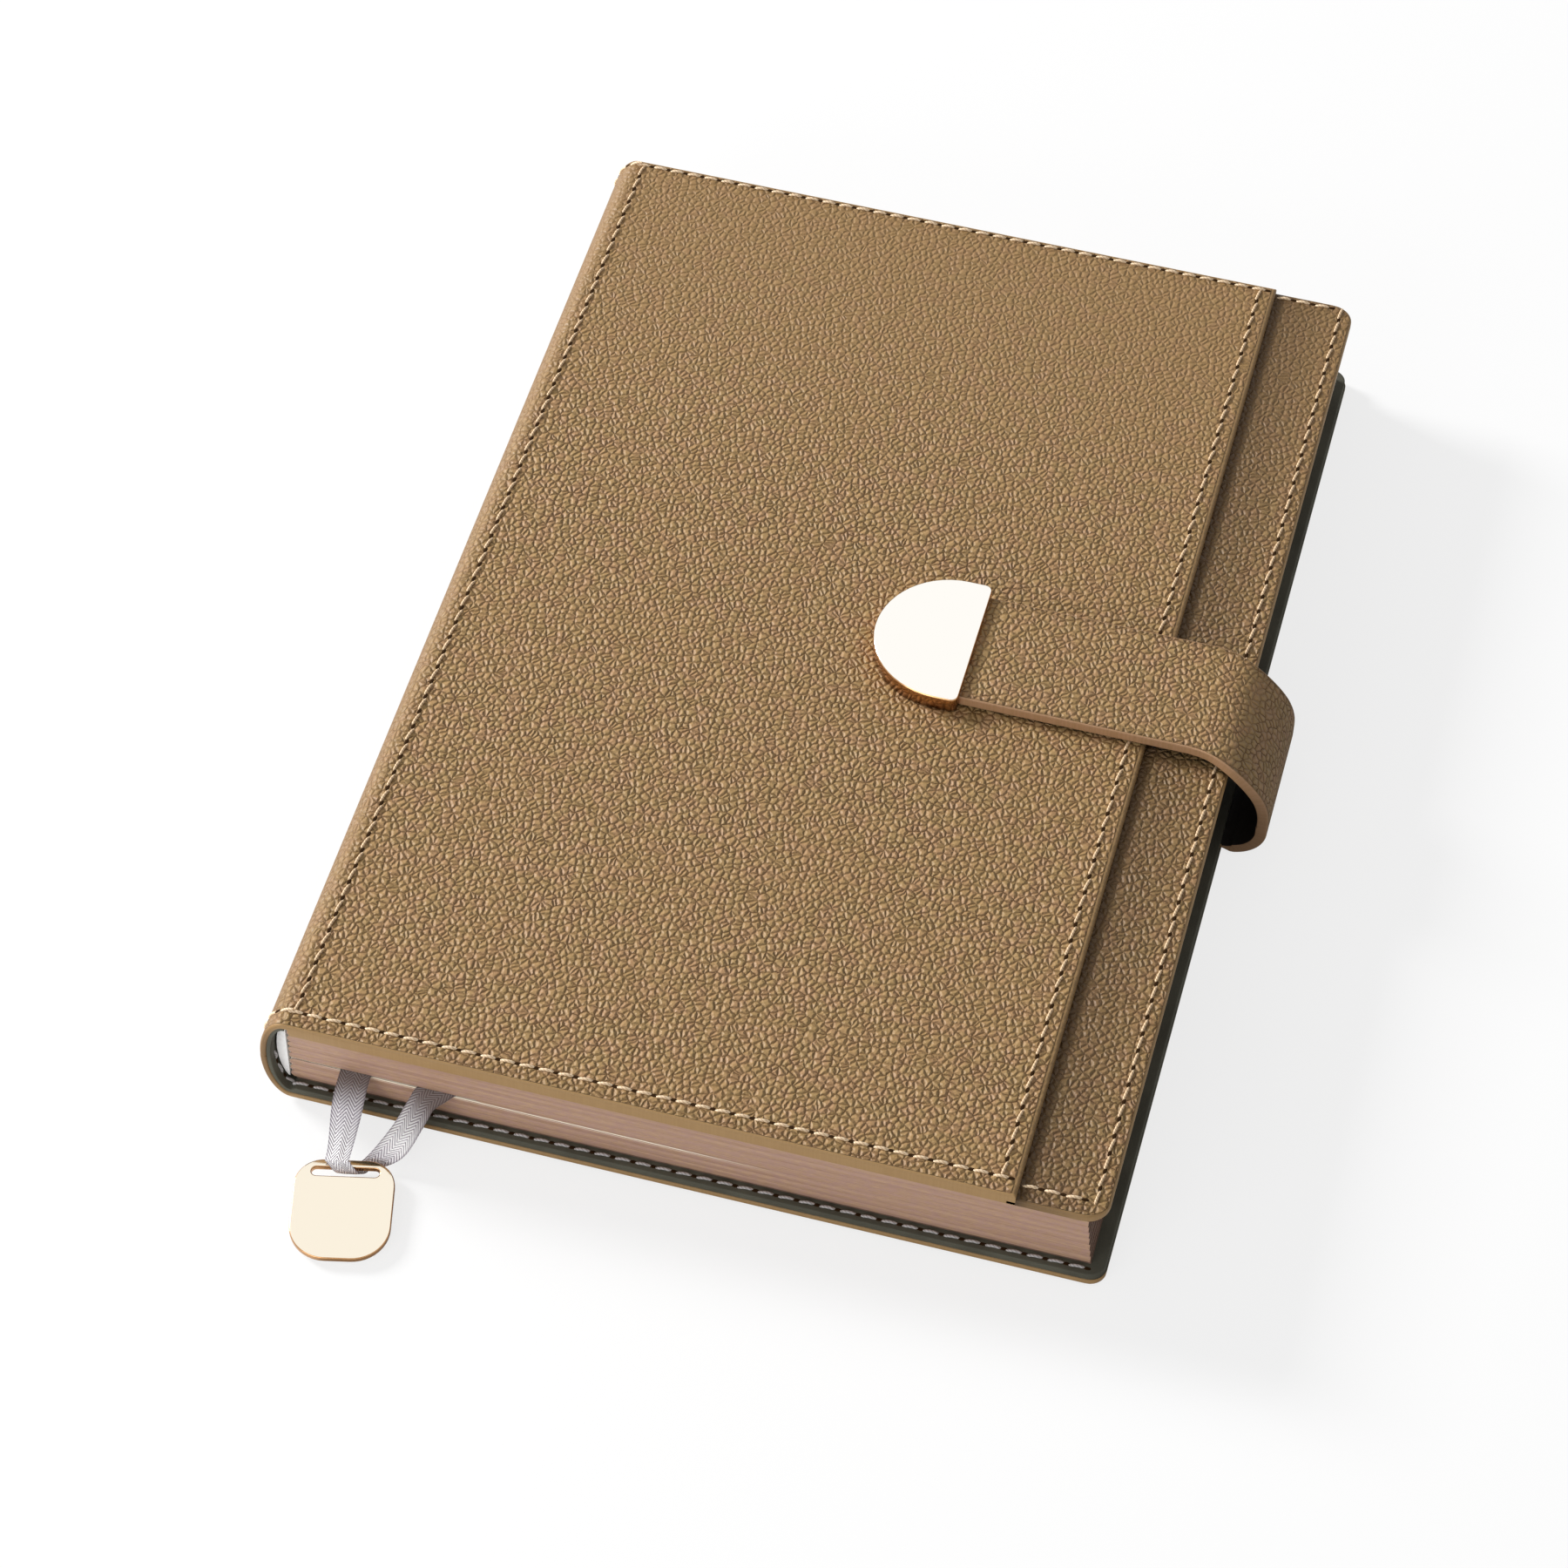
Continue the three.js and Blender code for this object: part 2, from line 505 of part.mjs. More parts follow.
function buildCharm() {
    const bevel = {
        depth: CHARM_THICKNESS - 2 * CHARM_BEVEL, bevelEnabled: true, bevelThickness: CHARM_BEVEL,
        bevelSize: CHARM_BEVEL, bevelOffset: -CHARM_BEVEL, bevelSegments: 2, curveSegments: ROUND_STEPS,
    };
    const plate = new THREE.ExtrudeGeometry(charmOutline(0), bevel);
    plate.translate(0, 0, -CHARM_THICKNESS / 2 + CHARM_BEVEL);
    const slot = sheet(charmSlot(), -CHARM_THICKNESS, 2 * CHARM_THICKNESS);
    const tag = addPiece(charm, 'charm', cut(plate, slot), FINISH.gold);
    tag.rotation.set(CHARM_TILT, 0, CHARM_TURN, 'ZYX');
    tag.position.set(CHARM_X, CHARM_Y, CHARM_MIDDLE_Z);
}

// Ribbon

// A flat strip swept along points, each with the level direction of the strip's width there.
function strip(stations, steps) {
    const route = new THREE.CatmullRomCurve3(stations.map((s) => s.point), false, 'centripetal');
    const last = stations.length - 1;
    const sections = [];
    for (let i = 0; i <= steps; i++) {
        const t = i / steps;
        const at = Math.min(Math.floor(t * last), last - 1);
        const side = stations[at].side.clone().lerp(stations[at + 1].side, t * last - at);
        const tangent = route.getTangent(t);
        side.setLength(RIBBON_WIDTH / 2);
        const up = tangent.clone().cross(side).setLength(RIBBON_THICKNESS / 2);
        sections.push({ middle: route.getPoint(t), side, up });
    }
    const corners = [[-1, -1], [1, -1], [1, 1], [-1, 1]];
    const positions = [];
    for (const { middle, side, up } of sections) {
        for (const [a, b] of corners) {
            const corner = middle.clone().addScaledVector(side, a).addScaledVector(up, b);
            positions.push(corner.x, corner.y, corner.z);
        }
    }
    const index = [0, 2, 1, 0, 3, 2];
    for (let i = 0; i < steps; i++) {
        for (let j = 0; j < 4; j++) {
            const a = 4 * i + j;
            const b = 4 * i + (j + 1) % 4;
            index.push(a, b, b + 4, a, b + 4, a + 4);
        }
    }
    const e = 4 * steps;
    index.push(e, e + 1, e + 2, e, e + 2, e + 3);
    const geometry = new THREE.BufferGeometry();
    geometry.setAttribute('position', new THREE.Float32BufferAttribute(positions, 3));
    geometry.setIndex(index);
    return geometry;
}

function station(x, y, z, side) {
    return { point: new THREE.Vector3(x, y, z), side };
}

const ALONG_X = new THREE.Vector3(1, 0, 0);
const ALONG_BAR = new THREE.Vector3(Math.cos(CHARM_TURN), Math.sin(CHARM_TURN), 0);

const RIBBON_Z = PARTING_Z + RIBBON_SPACE / 2;
const PAGE_TAIL_Y = -PAGE_HEIGHT / 2;
const LEG_STEPS = 6;
const BIGHT_STEPS = 8;

// The way a leg of the ribbon runs in plan, as a unit vector from the charm to the pages.
function legDirection(exit, foot) {
    return exit.clone().sub(foot).normalize();
}

function acrossLeg(direction) {
    return new THREE.Vector3(direction.y, -direction.x, 0);
}

// Between the pages, from the tail to where the ribbon is glued at the head of the spine.
function innerStretch(tailX, direction, headX) {
    const start = new THREE.Vector2(tailX, PAGE_TAIL_Y).addScaledVector(direction, RIBBON_TUCK + LEAF_GAP);
    const next = start.clone().addScaledVector(direction, RIBBON_WIDTH);
    const across = acrossLeg(direction);
    const stations = [
        station(start.x, start.y, RIBBON_Z, across),
        station(next.x, next.y, RIBBON_Z, across),
        station((next.x + headX) / 2, 0, RIBBON_Z, ALONG_X),
        station(headX, -PAGE_TAIL_Y / 2, RIBBON_Z, ALONG_X),
        station(headX, -PAGE_TAIL_Y - RIBBON_TUCK, RIBBON_Z, ALONG_X),
    ];
    return strip(stations, 16);
}

// One leg, listed from inside the pages down to the charm: flat at both ends, easing between.
// It bows sideways by the given amount.
function leg(exit, foot, footZ, bow) {
    const direction = legDirection(exit, foot);
    const across = acrossLeg(direction);
    const inside = exit.clone().addScaledVector(direction, RIBBON_TUCK);
    const brow = exit.clone().addScaledVector(direction, -RIBBON_LEDGE);
    const stations = [
        station(inside.x, inside.y, RIBBON_Z, across),
        station(exit.x, exit.y, RIBBON_Z, across),
        station(brow.x, brow.y, RIBBON_Z, across),
    ];
    for (let i = 1; i < LEG_STEPS; i++) {
        const t = i / LEG_STEPS;
        const drop = (1 - Math.cos(Math.PI * t)) / 2;
        const aside = bow * Math.sin(Math.PI * t);
        const place = brow.clone().lerp(foot, t).addScaledVector(new THREE.Vector2(across.x, across.y), aside);
        const side = across.clone().lerp(ALONG_BAR, THREE.MathUtils.smoothstep(t, 0.35, 1));
        stations.push(station(place.x, place.y, THREE.MathUtils.lerp(RIBBON_Z, footZ, drop), side));
    }
    return stations;
}

const LEFT_EXIT = new THREE.Vector2(RIBBON_LEFT_X, PAGE_TAIL_Y);
const RIGHT_EXIT = new THREE.Vector2(RIBBON_RIGHT_X, PAGE_TAIL_Y);
const LEFT_FOOT = placeOnCharm(LEFT_ON_BAR, BAR_V);
const RIGHT_FOOT = placeOnCharm(RIGHT_ON_BAR, BAR_V);

// Out of the pages on the left, through the charm's slot round its bar, and back in on the right.
function freeStretch() {
    const stations = leg(LEFT_EXIT, LEFT_FOOT, BAR_Z + BIGHT_RADIUS, 0);
    for (let i = 0; i <= BIGHT_STEPS; i++) {
        const angle = Math.PI / 2 + Math.PI * i / BIGHT_STEPS;
        const u = THREE.MathUtils.lerp(LEFT_ON_BAR, RIGHT_ON_BAR, i / BIGHT_STEPS);
        const place = placeOnCharm(u, BAR_V + BIGHT_RADIUS * Math.cos(angle));
        stations.push(station(place.x, place.y, BAR_Z + BIGHT_RADIUS * Math.sin(angle), ALONG_BAR));
    }
    stations.push(...leg(RIGHT_EXIT, RIGHT_FOOT, BAR_Z - BIGHT_RADIUS, RIBBON_RIGHT_BOW).reverse());
    return strip(stations, 80);
}

function buildRibbon() {
    const innerLeft = innerStretch(RIBBON_LEFT_X, legDirection(LEFT_EXIT, LEFT_FOOT), RIBBON_HEAD_X);
    const rightHead = RIBBON_HEAD_X + RIBBON_HEAD_SPACING;
    const innerRight = innerStretch(RIBBON_RIGHT_X, legDirection(RIGHT_EXIT, RIGHT_FOOT), rightHead);
    addPiece(root, 'ribbon_inner_left', innerLeft, FINISH.ribbon);
    addPiece(root, 'ribbon_inner_right', innerRight, FINISH.ribbon);
    addPiece(root, 'ribbon_loop', freeStretch(), FINISH.ribbon);
}

buildBackCover();
buildSpine();
buildPages();
buildFrontCover();
buildStrap();
buildCharm();
buildRibbon();

export default journal;
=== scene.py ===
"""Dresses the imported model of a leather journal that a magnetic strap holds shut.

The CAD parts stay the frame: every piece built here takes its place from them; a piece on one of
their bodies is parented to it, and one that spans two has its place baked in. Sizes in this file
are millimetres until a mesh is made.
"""

from __future__ import annotations

import logging
import math
from collections.abc import Iterable, Sequence
from dataclasses import dataclass, field, replace
from enum import Enum, IntEnum
from typing import Protocol

import bmesh
import bpy
from mathutils import Matrix, Vector

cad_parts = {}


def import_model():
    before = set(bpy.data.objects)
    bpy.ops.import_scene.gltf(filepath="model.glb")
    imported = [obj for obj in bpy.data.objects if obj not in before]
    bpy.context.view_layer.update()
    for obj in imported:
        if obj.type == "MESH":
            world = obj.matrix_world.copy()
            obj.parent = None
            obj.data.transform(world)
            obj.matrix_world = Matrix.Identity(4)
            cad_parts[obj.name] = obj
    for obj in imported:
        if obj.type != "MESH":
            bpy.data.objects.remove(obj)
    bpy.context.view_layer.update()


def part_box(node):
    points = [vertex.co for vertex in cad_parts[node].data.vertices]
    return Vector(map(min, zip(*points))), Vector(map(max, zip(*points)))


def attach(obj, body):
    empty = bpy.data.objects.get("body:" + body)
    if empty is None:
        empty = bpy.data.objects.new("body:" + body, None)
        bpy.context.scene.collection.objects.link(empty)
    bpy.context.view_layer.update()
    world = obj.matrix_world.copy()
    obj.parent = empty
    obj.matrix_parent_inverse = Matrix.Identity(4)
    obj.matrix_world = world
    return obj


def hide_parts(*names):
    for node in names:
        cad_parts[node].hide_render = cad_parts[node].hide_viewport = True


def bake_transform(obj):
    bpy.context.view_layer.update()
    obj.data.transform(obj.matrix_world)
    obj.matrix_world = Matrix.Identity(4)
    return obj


log = logging.getLogger("journal")

MM = 0.001
REST_PLACE = "rest_place"
GRAIN_PLACE = "grain_place"
PAINTED = "painted"
Colour = tuple[float, float, float]
Numbers = Sequence[float]
Material = bpy.types.Material
Mesh = bpy.types.Mesh
Object = bpy.types.Object
Socket = bpy.types.NodeSocket


class Body(str, Enum):
    """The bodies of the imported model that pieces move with."""

    BACK = "journal_back"
    COVER = "front_cover"
    PAGES_LOW = "pages_low"
    PAGES_MIDDLE = "pages_middle"
    PAGES_TOP = "pages_top"
    STRAP_LOOP = "strap_loop"
    STRAP_ARM = "strap_arm"
    CHARM = "charm"


class Face(IntEnum):
    """Which side of a sheet a face is on."""

    OUTER = 0
    INNER = 1
    EDGE = 2


def linear(red: int, green: int, blue: int) -> Colour:
    """Turn a colour as a screen shows it into the linear values that shaders use.

    Args:
        red: Red, from 0 to 255.
        green: Green, from 0 to 255.
        blue: Blue, from 0 to 255.

    Returns:
        The three linear values, from 0 to 1.
    """
    def channel(value: int) -> float:
        """Undo the screen's curve for one channel."""
        v = value / 255
        return v / 12.92 if v <= 0.04045 else ((v + 0.055) / 1.055) ** 2.4
    return channel(red), channel(green), channel(blue)


# Node trees


@dataclass(frozen=True)
class Value:
    """A number that varies over a surface or a row, as a socket whose maths are plain expressions."""

    graph: Graph
    socket: Socket

    def _math(self, operation: str, *operands: Value | float) -> Value:
        """Add one Math node with these inputs, in order."""
        settings = {"operation": operation}
        return self.graph.node("ShaderNodeMath", settings, dict(enumerate(operands))).value(0)

    def __add__(self, other: Value | float) -> Value:
        """Sum."""
        return self._math("ADD", self, other)

    def __radd__(self, other: float) -> Value:
        """Sum."""
        return self._math("ADD", other, self)

    def __sub__(self, other: Value | float) -> Value:
        """Difference."""
        return self._math("SUBTRACT", self, other)

    def __rsub__(self, other: float) -> Value:
        """Difference, the other way round."""
        return self._math("SUBTRACT", other, self)

    def __mul__(self, other: Value | float) -> Value:
        """Product."""
        return self._math("MULTIPLY", self, other)

    def __rmul__(self, other: float) -> Value:
        """Product."""
        return self._math("MULTIPLY", other, self)

    def __truediv__(self, other: Value | float) -> Value:
        """Quotient."""
        return self._math("DIVIDE", self, other)

    def __rtruediv__(self, other: float) -> Value:
        """Quotient, the other way round."""
        return self._math("DIVIDE", other, self)

    def __abs__(self) -> Value:
        """Its size without its sign."""
        return self._math("ABSOLUTE", self)

    def at_least(self, other: Value | float) -> Value:
        """The larger of it and another."""
        return self._math("MAXIMUM", self, other)

    def remainder(self, period: float) -> Value:
        """What is left of it after division."""
        return self._math("MODULO", self, period)

    def wrapped(self, period: float) -> Value:
        """What is left of it after whole periods."""
        return self._math("WRAP", self, period, 0.0)

    def ramp(self, start: float, stop: float) -> Value:
        """Ease from 0 at start to 1 at stop; start may be the larger.

        Args:
            start: Where the result is 0.
            stop: Where the result is 1.

        Returns:
            The eased value.
        """
        settings = {"interpolation_type": "SMOOTHSTEP"}
        if start < stop:
            inputs = {"Value": self, "From Min": start, "From Max": stop, "To Min": 0.0, "To Max": 1.0}
        else:
            inputs = {"Value": self, "From Min": stop, "From Max": start, "To Min": 1.0, "To Max": 0.0}
        return self.graph.node("ShaderNodeMapRange", settings, inputs).value("Result")


Input = Value | Socket | float | int | bool | str | Numbers | Material | None


@dataclass(frozen=True)
class Node:
    """A node that has been added, with its outputs by name or number."""

    graph: Graph
    node: bpy.types.Node

    def out(self, name: str | int) -> Socket:
        """An output's bare socket."""
        return self.node.outputs[name]

    def value(self, name: str | int) -> Value:
        """An output as a number that can be reckoned with."""
        return Value(self.graph, self.node.outputs[name])


@dataclass(frozen=True)
class Graph:
    """A shader or geometry tree, to which every node is added in the same way."""

    tree: bpy.types.NodeTree

    def node(self, kind: str, settings: dict | None = None, inputs: dict | None = None) -> Node:
        """Add a node.

        Args:
            kind: The node's type.
            settings: Its own settings, set before its inputs.
            inputs: Values, sockets or links, by input name or number.

        Returns:
            The node.
        """
        node = self.tree.nodes.new(kind)
        for name, setting in (settings or {}).items():
            setattr(node, name, setting)
        for name, given in (inputs or {}).items():
            self._feed(node.inputs[name], given)
        return Node(self, node)

    def _feed(self, socket: Socket, given: Input) -> None:
        """Link or set one input."""
        if isinstance(given, Value):
            self.tree.links.new(given.socket, socket)
        elif isinstance(given, Socket):
            self.tree.links.new(given, socket)
        elif isinstance(given, tuple) and len(given) == 3 and socket.type == "RGBA":
            socket.default_value = (*given, 1.0)
        else:
            socket.default_value = given

    def mix(self, share: Value | float, first: Input, second: Input) -> Socket:
        """Mix two colours.

        Args:
            share: How much of the second, from 0 to 1.
            first: The colour at 0.
            second: The colour at 1.

        Returns:
            The mixed colour.
        """
        inputs = {0: share, 6: first, 7: second}
        return self.node("ShaderNodeMix", {"data_type": "RGBA"}, inputs).out(2)

    def vector(self, x: Value | float, y: Value | float, z: Value | float) -> Socket:
        """Put three numbers together as a vector."""
        return self.node("ShaderNodeCombineXYZ", None, {0: x, 1: y, 2: z}).out(0)

    def vector_math(self, operation: str, *operands: Input, scale: float | None = None) -> Socket:
        """Add one Vector Math node.

        Args:
            operation: The node's operation.
            operands: Its vector inputs, in order.
            scale: The factor, for the SCALE operation.

        Returns:
            The resulting vector.
        """
        inputs = dict(enumerate(operands))
        if scale is not None:
            inputs["Scale"] = scale
        return self.node("ShaderNodeVectorMath", {"operation": operation}, inputs).out(0)


@dataclass(frozen=True)
class Surface(Graph):
    """A material's tree, with the coordinates and patterns that this journal's finishes share."""

    material: Material

    @classmethod
    def named(cls, name: str) -> Surface:
        """Start an empty material."""
        material = bpy.data.materials.new(name)
        material.use_nodes = True
        material.node_tree.nodes.clear()
        return cls(material.node_tree, material)

    def rest_place(self) -> Socket:
        """Where a point lies on the closed journal, in millimetres, whatever pose it is in."""
        return self.vector_math("SCALE", self.stored(REST_PLACE).out("Vector"), scale=1 / MM)

    def object_place(self) -> Socket:
        """Where a point lies on its own object, in millimetres."""
        place = self.node("ShaderNodeTexCoord").out("Object")
        return self.vector_math("SCALE", place, scale=1 / MM)

    def split(self, place: Socket) -> tuple[Value, Value, Value]:
        """The three parts of a vector."""
        parts = self.node("ShaderNodeSeparateXYZ", None, {0: place})
        return parts.value(0), parts.value(1), parts.value(2)

    def stored(self, name: str) -> Node:
        """An attribute that the mesh brings along."""
        return self.node("ShaderNodeAttribute", {"attribute_name": name})

    def noise(self, place: Input, per_mm: float, detail: float = 2.0, flat: bool = False) -> Value:
        """A cloudy pattern from 0 to 1.

        Args:
            place: The point, in millimetres.
            per_mm: Features for each millimetre.
            detail: How many finer layers it has.
            flat: Whether it looks at the point's first two numbers only.

        Returns:
            The pattern's value.
        """
        settings = {"noise_dimensions": "2D" if flat else "3D"}
        inputs = {"Vector": place, "Scale": per_mm, "Detail": detail}
        return self.node("ShaderNodeTexNoise", settings, inputs).value(0)

    def bump(self, height: Value, depth_mm: float, strength: float = 1.0) -> Socket:
        """A normal that shows a height pattern as relief.

        Args:
            height: The pattern, from 0 to 1.
            depth_mm: How deep the relief is.
            strength: How much of it shows.

        Returns:
            The normal.
        """
        inputs = {"Height": height, "Distance": depth_mm * MM, "Strength": strength}
        return self.node("ShaderNodeBump", None, inputs).out(0)

    def finish(self, inputs: dict) -> Material:
        """End the tree in a Principled shader.

        Args:
            inputs: The shader's inputs, by name.

        Returns:
            The material.
        """
        shader = self.node("ShaderNodeBsdfPrincipled", None, inputs)
        self.node("ShaderNodeOutputMaterial", None, {"Surface": shader.out(0)})
        return self.material


# Finishes


@dataclass(frozen=True)
class PebbledLeather:
    """Grained leather whose cut edges are folded or sealed smooth.

    The grain lies in its own flat coordinates, along and across the hide, so it follows every bend.
    The painted attribute goes from 0, full grain, over 0.4, grain darkened as painted shade where the
    edge rolls away, to 1, a sealed edge. Lighter crowns and darker creases are partly the grain's own
    colour and partly painted shade; a band along X and the head end are darkened as painted shade.
    """

    name: str
    crown: Colour = linear(172, 139, 95)
    middle: Colour = linear(151, 118, 75)
    # Colour of the painted shade towards the head.
    painted_head_shade: Colour = linear(137, 107, 69)
    crease: Colour = linear(73, 45, 8)
    rosy: Colour = linear(161, 121, 92)
    olive: Colour = linear(146, 122, 76)
    smooth: Colour = linear(163, 130, 86)
    worn: Colour = linear(139, 111, 75)
    cells_per_mm: float = 0.77
    relief_mm: float = 0.31
    roughness: float = 0.5
    sealed_roughness: float = 0.45
    shine: float = 0.28
    # Strength of the painted edge shade.
    painted_edge_shade: float = 0.16
    far_from_y: float = 20.0
    far_to_y: float = 105.0
    # Painted shade in a band along X, darkening towards the tint colour; by default the spine's flank,
    # where the key lamp falls hardest.
    painted_shade_from_x: float = -74.0
    painted_shade_to_x: float = -69.4
    painted_shade_share: float = 0.62
    tint: Colour = linear(104, 74, 38)

    def material(self) -> Material:
        """Build the material."""
        s = Surface.named(self.name)
        place = s.stored(GRAIN_PLACE).out("Vector")
        painted = s.stored(PAINTED).value("Fac")
        drift = s.node("ShaderNodeTexNoise", {"noise_dimensions": "2D"},
                       {"Vector": place, "Scale": 0.9, "Detail": 2.0}).out("Color")
        drift = s.vector_math("SCALE", s.vector_math("SUBTRACT", drift, (0.5, 0.5, 0.5)), scale=0.5)
        warped = s.vector_math("ADD", place, drift)
        edge = s.node("ShaderNodeTexVoronoi", {"feature": "DISTANCE_TO_EDGE", "voronoi_dimensions": "2D"},
                      {"Vector": warped, "Scale": self.cells_per_mm, "Randomness": 1.0}).value("Distance")
        patch = s.noise(place, 0.45, 1.0, flat=True)
        fibre = s.noise(place, 2.6, 2.0, flat=True)
        cloud = s.noise(place, 0.05, 2.0, flat=True)
        blush = s.noise(place, 0.3, 1.0, flat=True)
        _, up_hide, _ = s.split(place)
        # Towards the head the grain is flattened and its colour darkened as painted shade.
        far = up_hide.ramp(self.far_from_y, self.far_to_y)
        bare = 1.0 - painted.ramp(0.5, 0.95)
        # Painted shade on the grain just inside a sealed edge, where the leather rolls away.
        painted_edge_shade = painted.ramp(0.0, 0.4) * bare
        # Lighter crowns and darker creases: partly the grain's own colour, partly painted shade in the
        # creases.
        crack = edge.ramp(0.16, 0.0) * (patch.ramp(0.38, 0.62) * 0.5 + 0.42) * (1.0 - far * 0.4)
        slope = edge.ramp(0.36, 0.05)
        grain = s.mix(slope * 0.45 + fibre * 0.35, self.crown, self.middle)
        grain = s.mix(blush.ramp(0.5, 0.66) * 0.4, grain, self.rosy)
        grain = s.mix(blush.ramp(0.5, 0.34) * 0.4, grain, self.olive)
        grain = s.mix(crack, grain, self.crease)
        grain = s.mix(cloud.ramp(0.35, 0.7) * 0.25, grain, self.middle)
        grain = s.mix(far * 0.55, grain, self.painted_head_shade)
        grain = s.mix(painted_edge_shade * self.painted_edge_shade, grain, self.crease)
        sealed = s.mix(painted.ramp(0.82, 0.98), self.worn, self.smooth)
        sealed = s.mix(fibre.ramp(0.35, 0.65) * 0.3, sealed, self.middle)
        colour = s.mix(bare, sealed, grain)
        # Painted shade along X, strongest in the first 2.5 mm of the band.
        x, _, _ = s.split(s.rest_place())
        near = x.ramp(self.painted_shade_from_x + 2.5, self.painted_shade_from_x) * 0.35 + 0.65
        tinted = x.ramp(self.painted_shade_to_x, self.painted_shade_from_x) * near * self.painted_shade_share
        colour = s.mix(tinted, colour, self.tint)
        height = (edge.ramp(-0.06, 0.42) + fibre * 0.12 + patch * 0.25) * (1.0 - far * 0.4)
        rough = bare * (self.roughness - self.sealed_roughness) + self.sealed_roughness
        return s.finish({
            "Base Color": colour,
            "Roughness": rough + crack * bare * 0.25,
            "Normal": s.bump(height * bare + fibre * 0.05, self.relief_mm),
            "Specular IOR Level": self.shine,
        })


@dataclass(frozen=True)
class SmoothLeather:
    """Thin lining leather with a fine, even grain."""

    name: str
    colour: Colour
    shade: Colour
    roughness: float = 0.7
    shine: float = 0.22

    def material(self) -> Material:
        """Build the material."""
        s = Surface.named(self.name)
        place = s.rest_place()
        pores = s.noise(place, 2.2, 3.0)
        cloud = s.noise(place, 0.12, 2.0)
        return s.finish({
            "Base Color": s.mix(cloud.ramp(0.3, 0.7) * 0.6 + pores * 0.3, self.colour, self.shade),
            "Roughness": self.roughness,
            "Normal": s.bump(pores, 0.05, 0.6),
            "Specular IOR Level": self.shine,
        })


@dataclass(frozen=True)
class TintedPageEdge:
    """The cut edges of many leaves, tinted rose gold, with the cream paper at the parting brightened as a
    painted highlight, and painted shade on the fore face.
    """

    name: str = "rose_gold_page_edge"
    tint: Colour = linear(192, 157, 129)
    shade: Colour = linear(167, 131, 108)
    rose: Colour = linear(174, 138, 130)
    pale: Colour = linear(252, 241, 220)
    parting_z: float = 8.25
    parting_from_x: float = -47.0
    parting_to_x: float = 24.0
    tail_y: float = -106.0
    # Colour of the painted shade on the fore face.
    fore: Colour = linear(113, 87, 72)
    page_half: float = 106.4

    def material(self) -> Material:
        """Build the material."""
        s = Surface.named(self.name)
        place = s.rest_place()
        x, y, z = s.split(place)
        leaves = s.noise(s.vector(x * 0.03, y * 0.03, z * 5.0), 1.0, 2.0)
        sheets = s.noise(s.vector(x * 0.012, y * 0.012, z * 1.7), 1.0, 1.0)
        fleck = s.noise(s.vector(x * 0.8, y * 0.8, z * 8.0), 1.0, 1.0)
        blush = s.noise(s.vector(x * 0.5, y * 0.5, z * 1.4), 1.0, 2.0)
        streak = leaves * 0.45 + sheets * 0.3 + fleck * 0.25
        colour = s.mix(streak.ramp(0.36, 0.64), self.shade, self.tint)
        colour = s.mix(blush.ramp(0.4, 0.62) * 0.5, colour, self.rose)
        # Painted highlight along the parting of the block on the tail face, over the cream paper that
        # shows there.
        line = abs(z - (self.parting_z - 0.1)).ramp(0.2, 0.05)
        second = abs(z - (self.parting_z - 0.55)).ramp(0.1, 0.02) * 0.5
        along = (x + s.noise(place, 0.2, 1.0) * 6.0).ramp(self.parting_to_x, self.parting_to_x - 30.0)
        along = along * x.ramp(self.parting_from_x - 24.0, self.parting_from_x)
        tail = y.ramp(self.tail_y + 0.2, self.tail_y)
        colour = s.mix((line + second) * along * tail * 1.2, colour, self.pale)
        # Painted shade on the fore face, which turns away from the key lamp.
        fore = abs(y).ramp(self.page_half - 0.05, self.page_half - 0.15) * x.ramp(40.0, 60.0)
        colour = s.mix(fore, colour, self.fore)
        return s.finish({
            "Base Color": colour,
            "Roughness": 0.5,
            "Metallic": 0.0,
            "Normal": s.bump(leaves, 0.05, 0.6),
        })


@dataclass(frozen=True)
class PlainPaper:
    """Uncoated paper."""

    name: str
    colour: Colour = linear(243, 237, 224)
    rim: Colour = linear(120, 94, 80)
    rim_x: float = 0.0
    rim_y: float = 0.0

    def material(self) -> Material:
        """Build the material."""
        s = Surface.named(self.name)
        place = s.object_place()
        fibres = s.noise(place, 1.5, 4.0)
        colour = s.mix(fibres.ramp(0.3, 0.7) * 0.08, self.colour, self.rim)
        # On the endpapers the cut edges along Y and at the fore end darken towards the rim colour: painted
        # shade in the gap between the page block and the lining.
        if self.rim_y:
            x, y, _ = s.split(place)
            edge = abs(y).ramp(self.rim_y - 0.15, self.rim_y - 0.08)
            edge = edge.at_least(x.ramp(self.rim_x - 0.55, self.rim_x - 0.45))
            colour = s.mix(edge, colour, self.rim)
        return s.finish({"Base Color": colour, "Roughness": 0.85, "Normal": s.bump(fibres, 0.02, 0.3)})


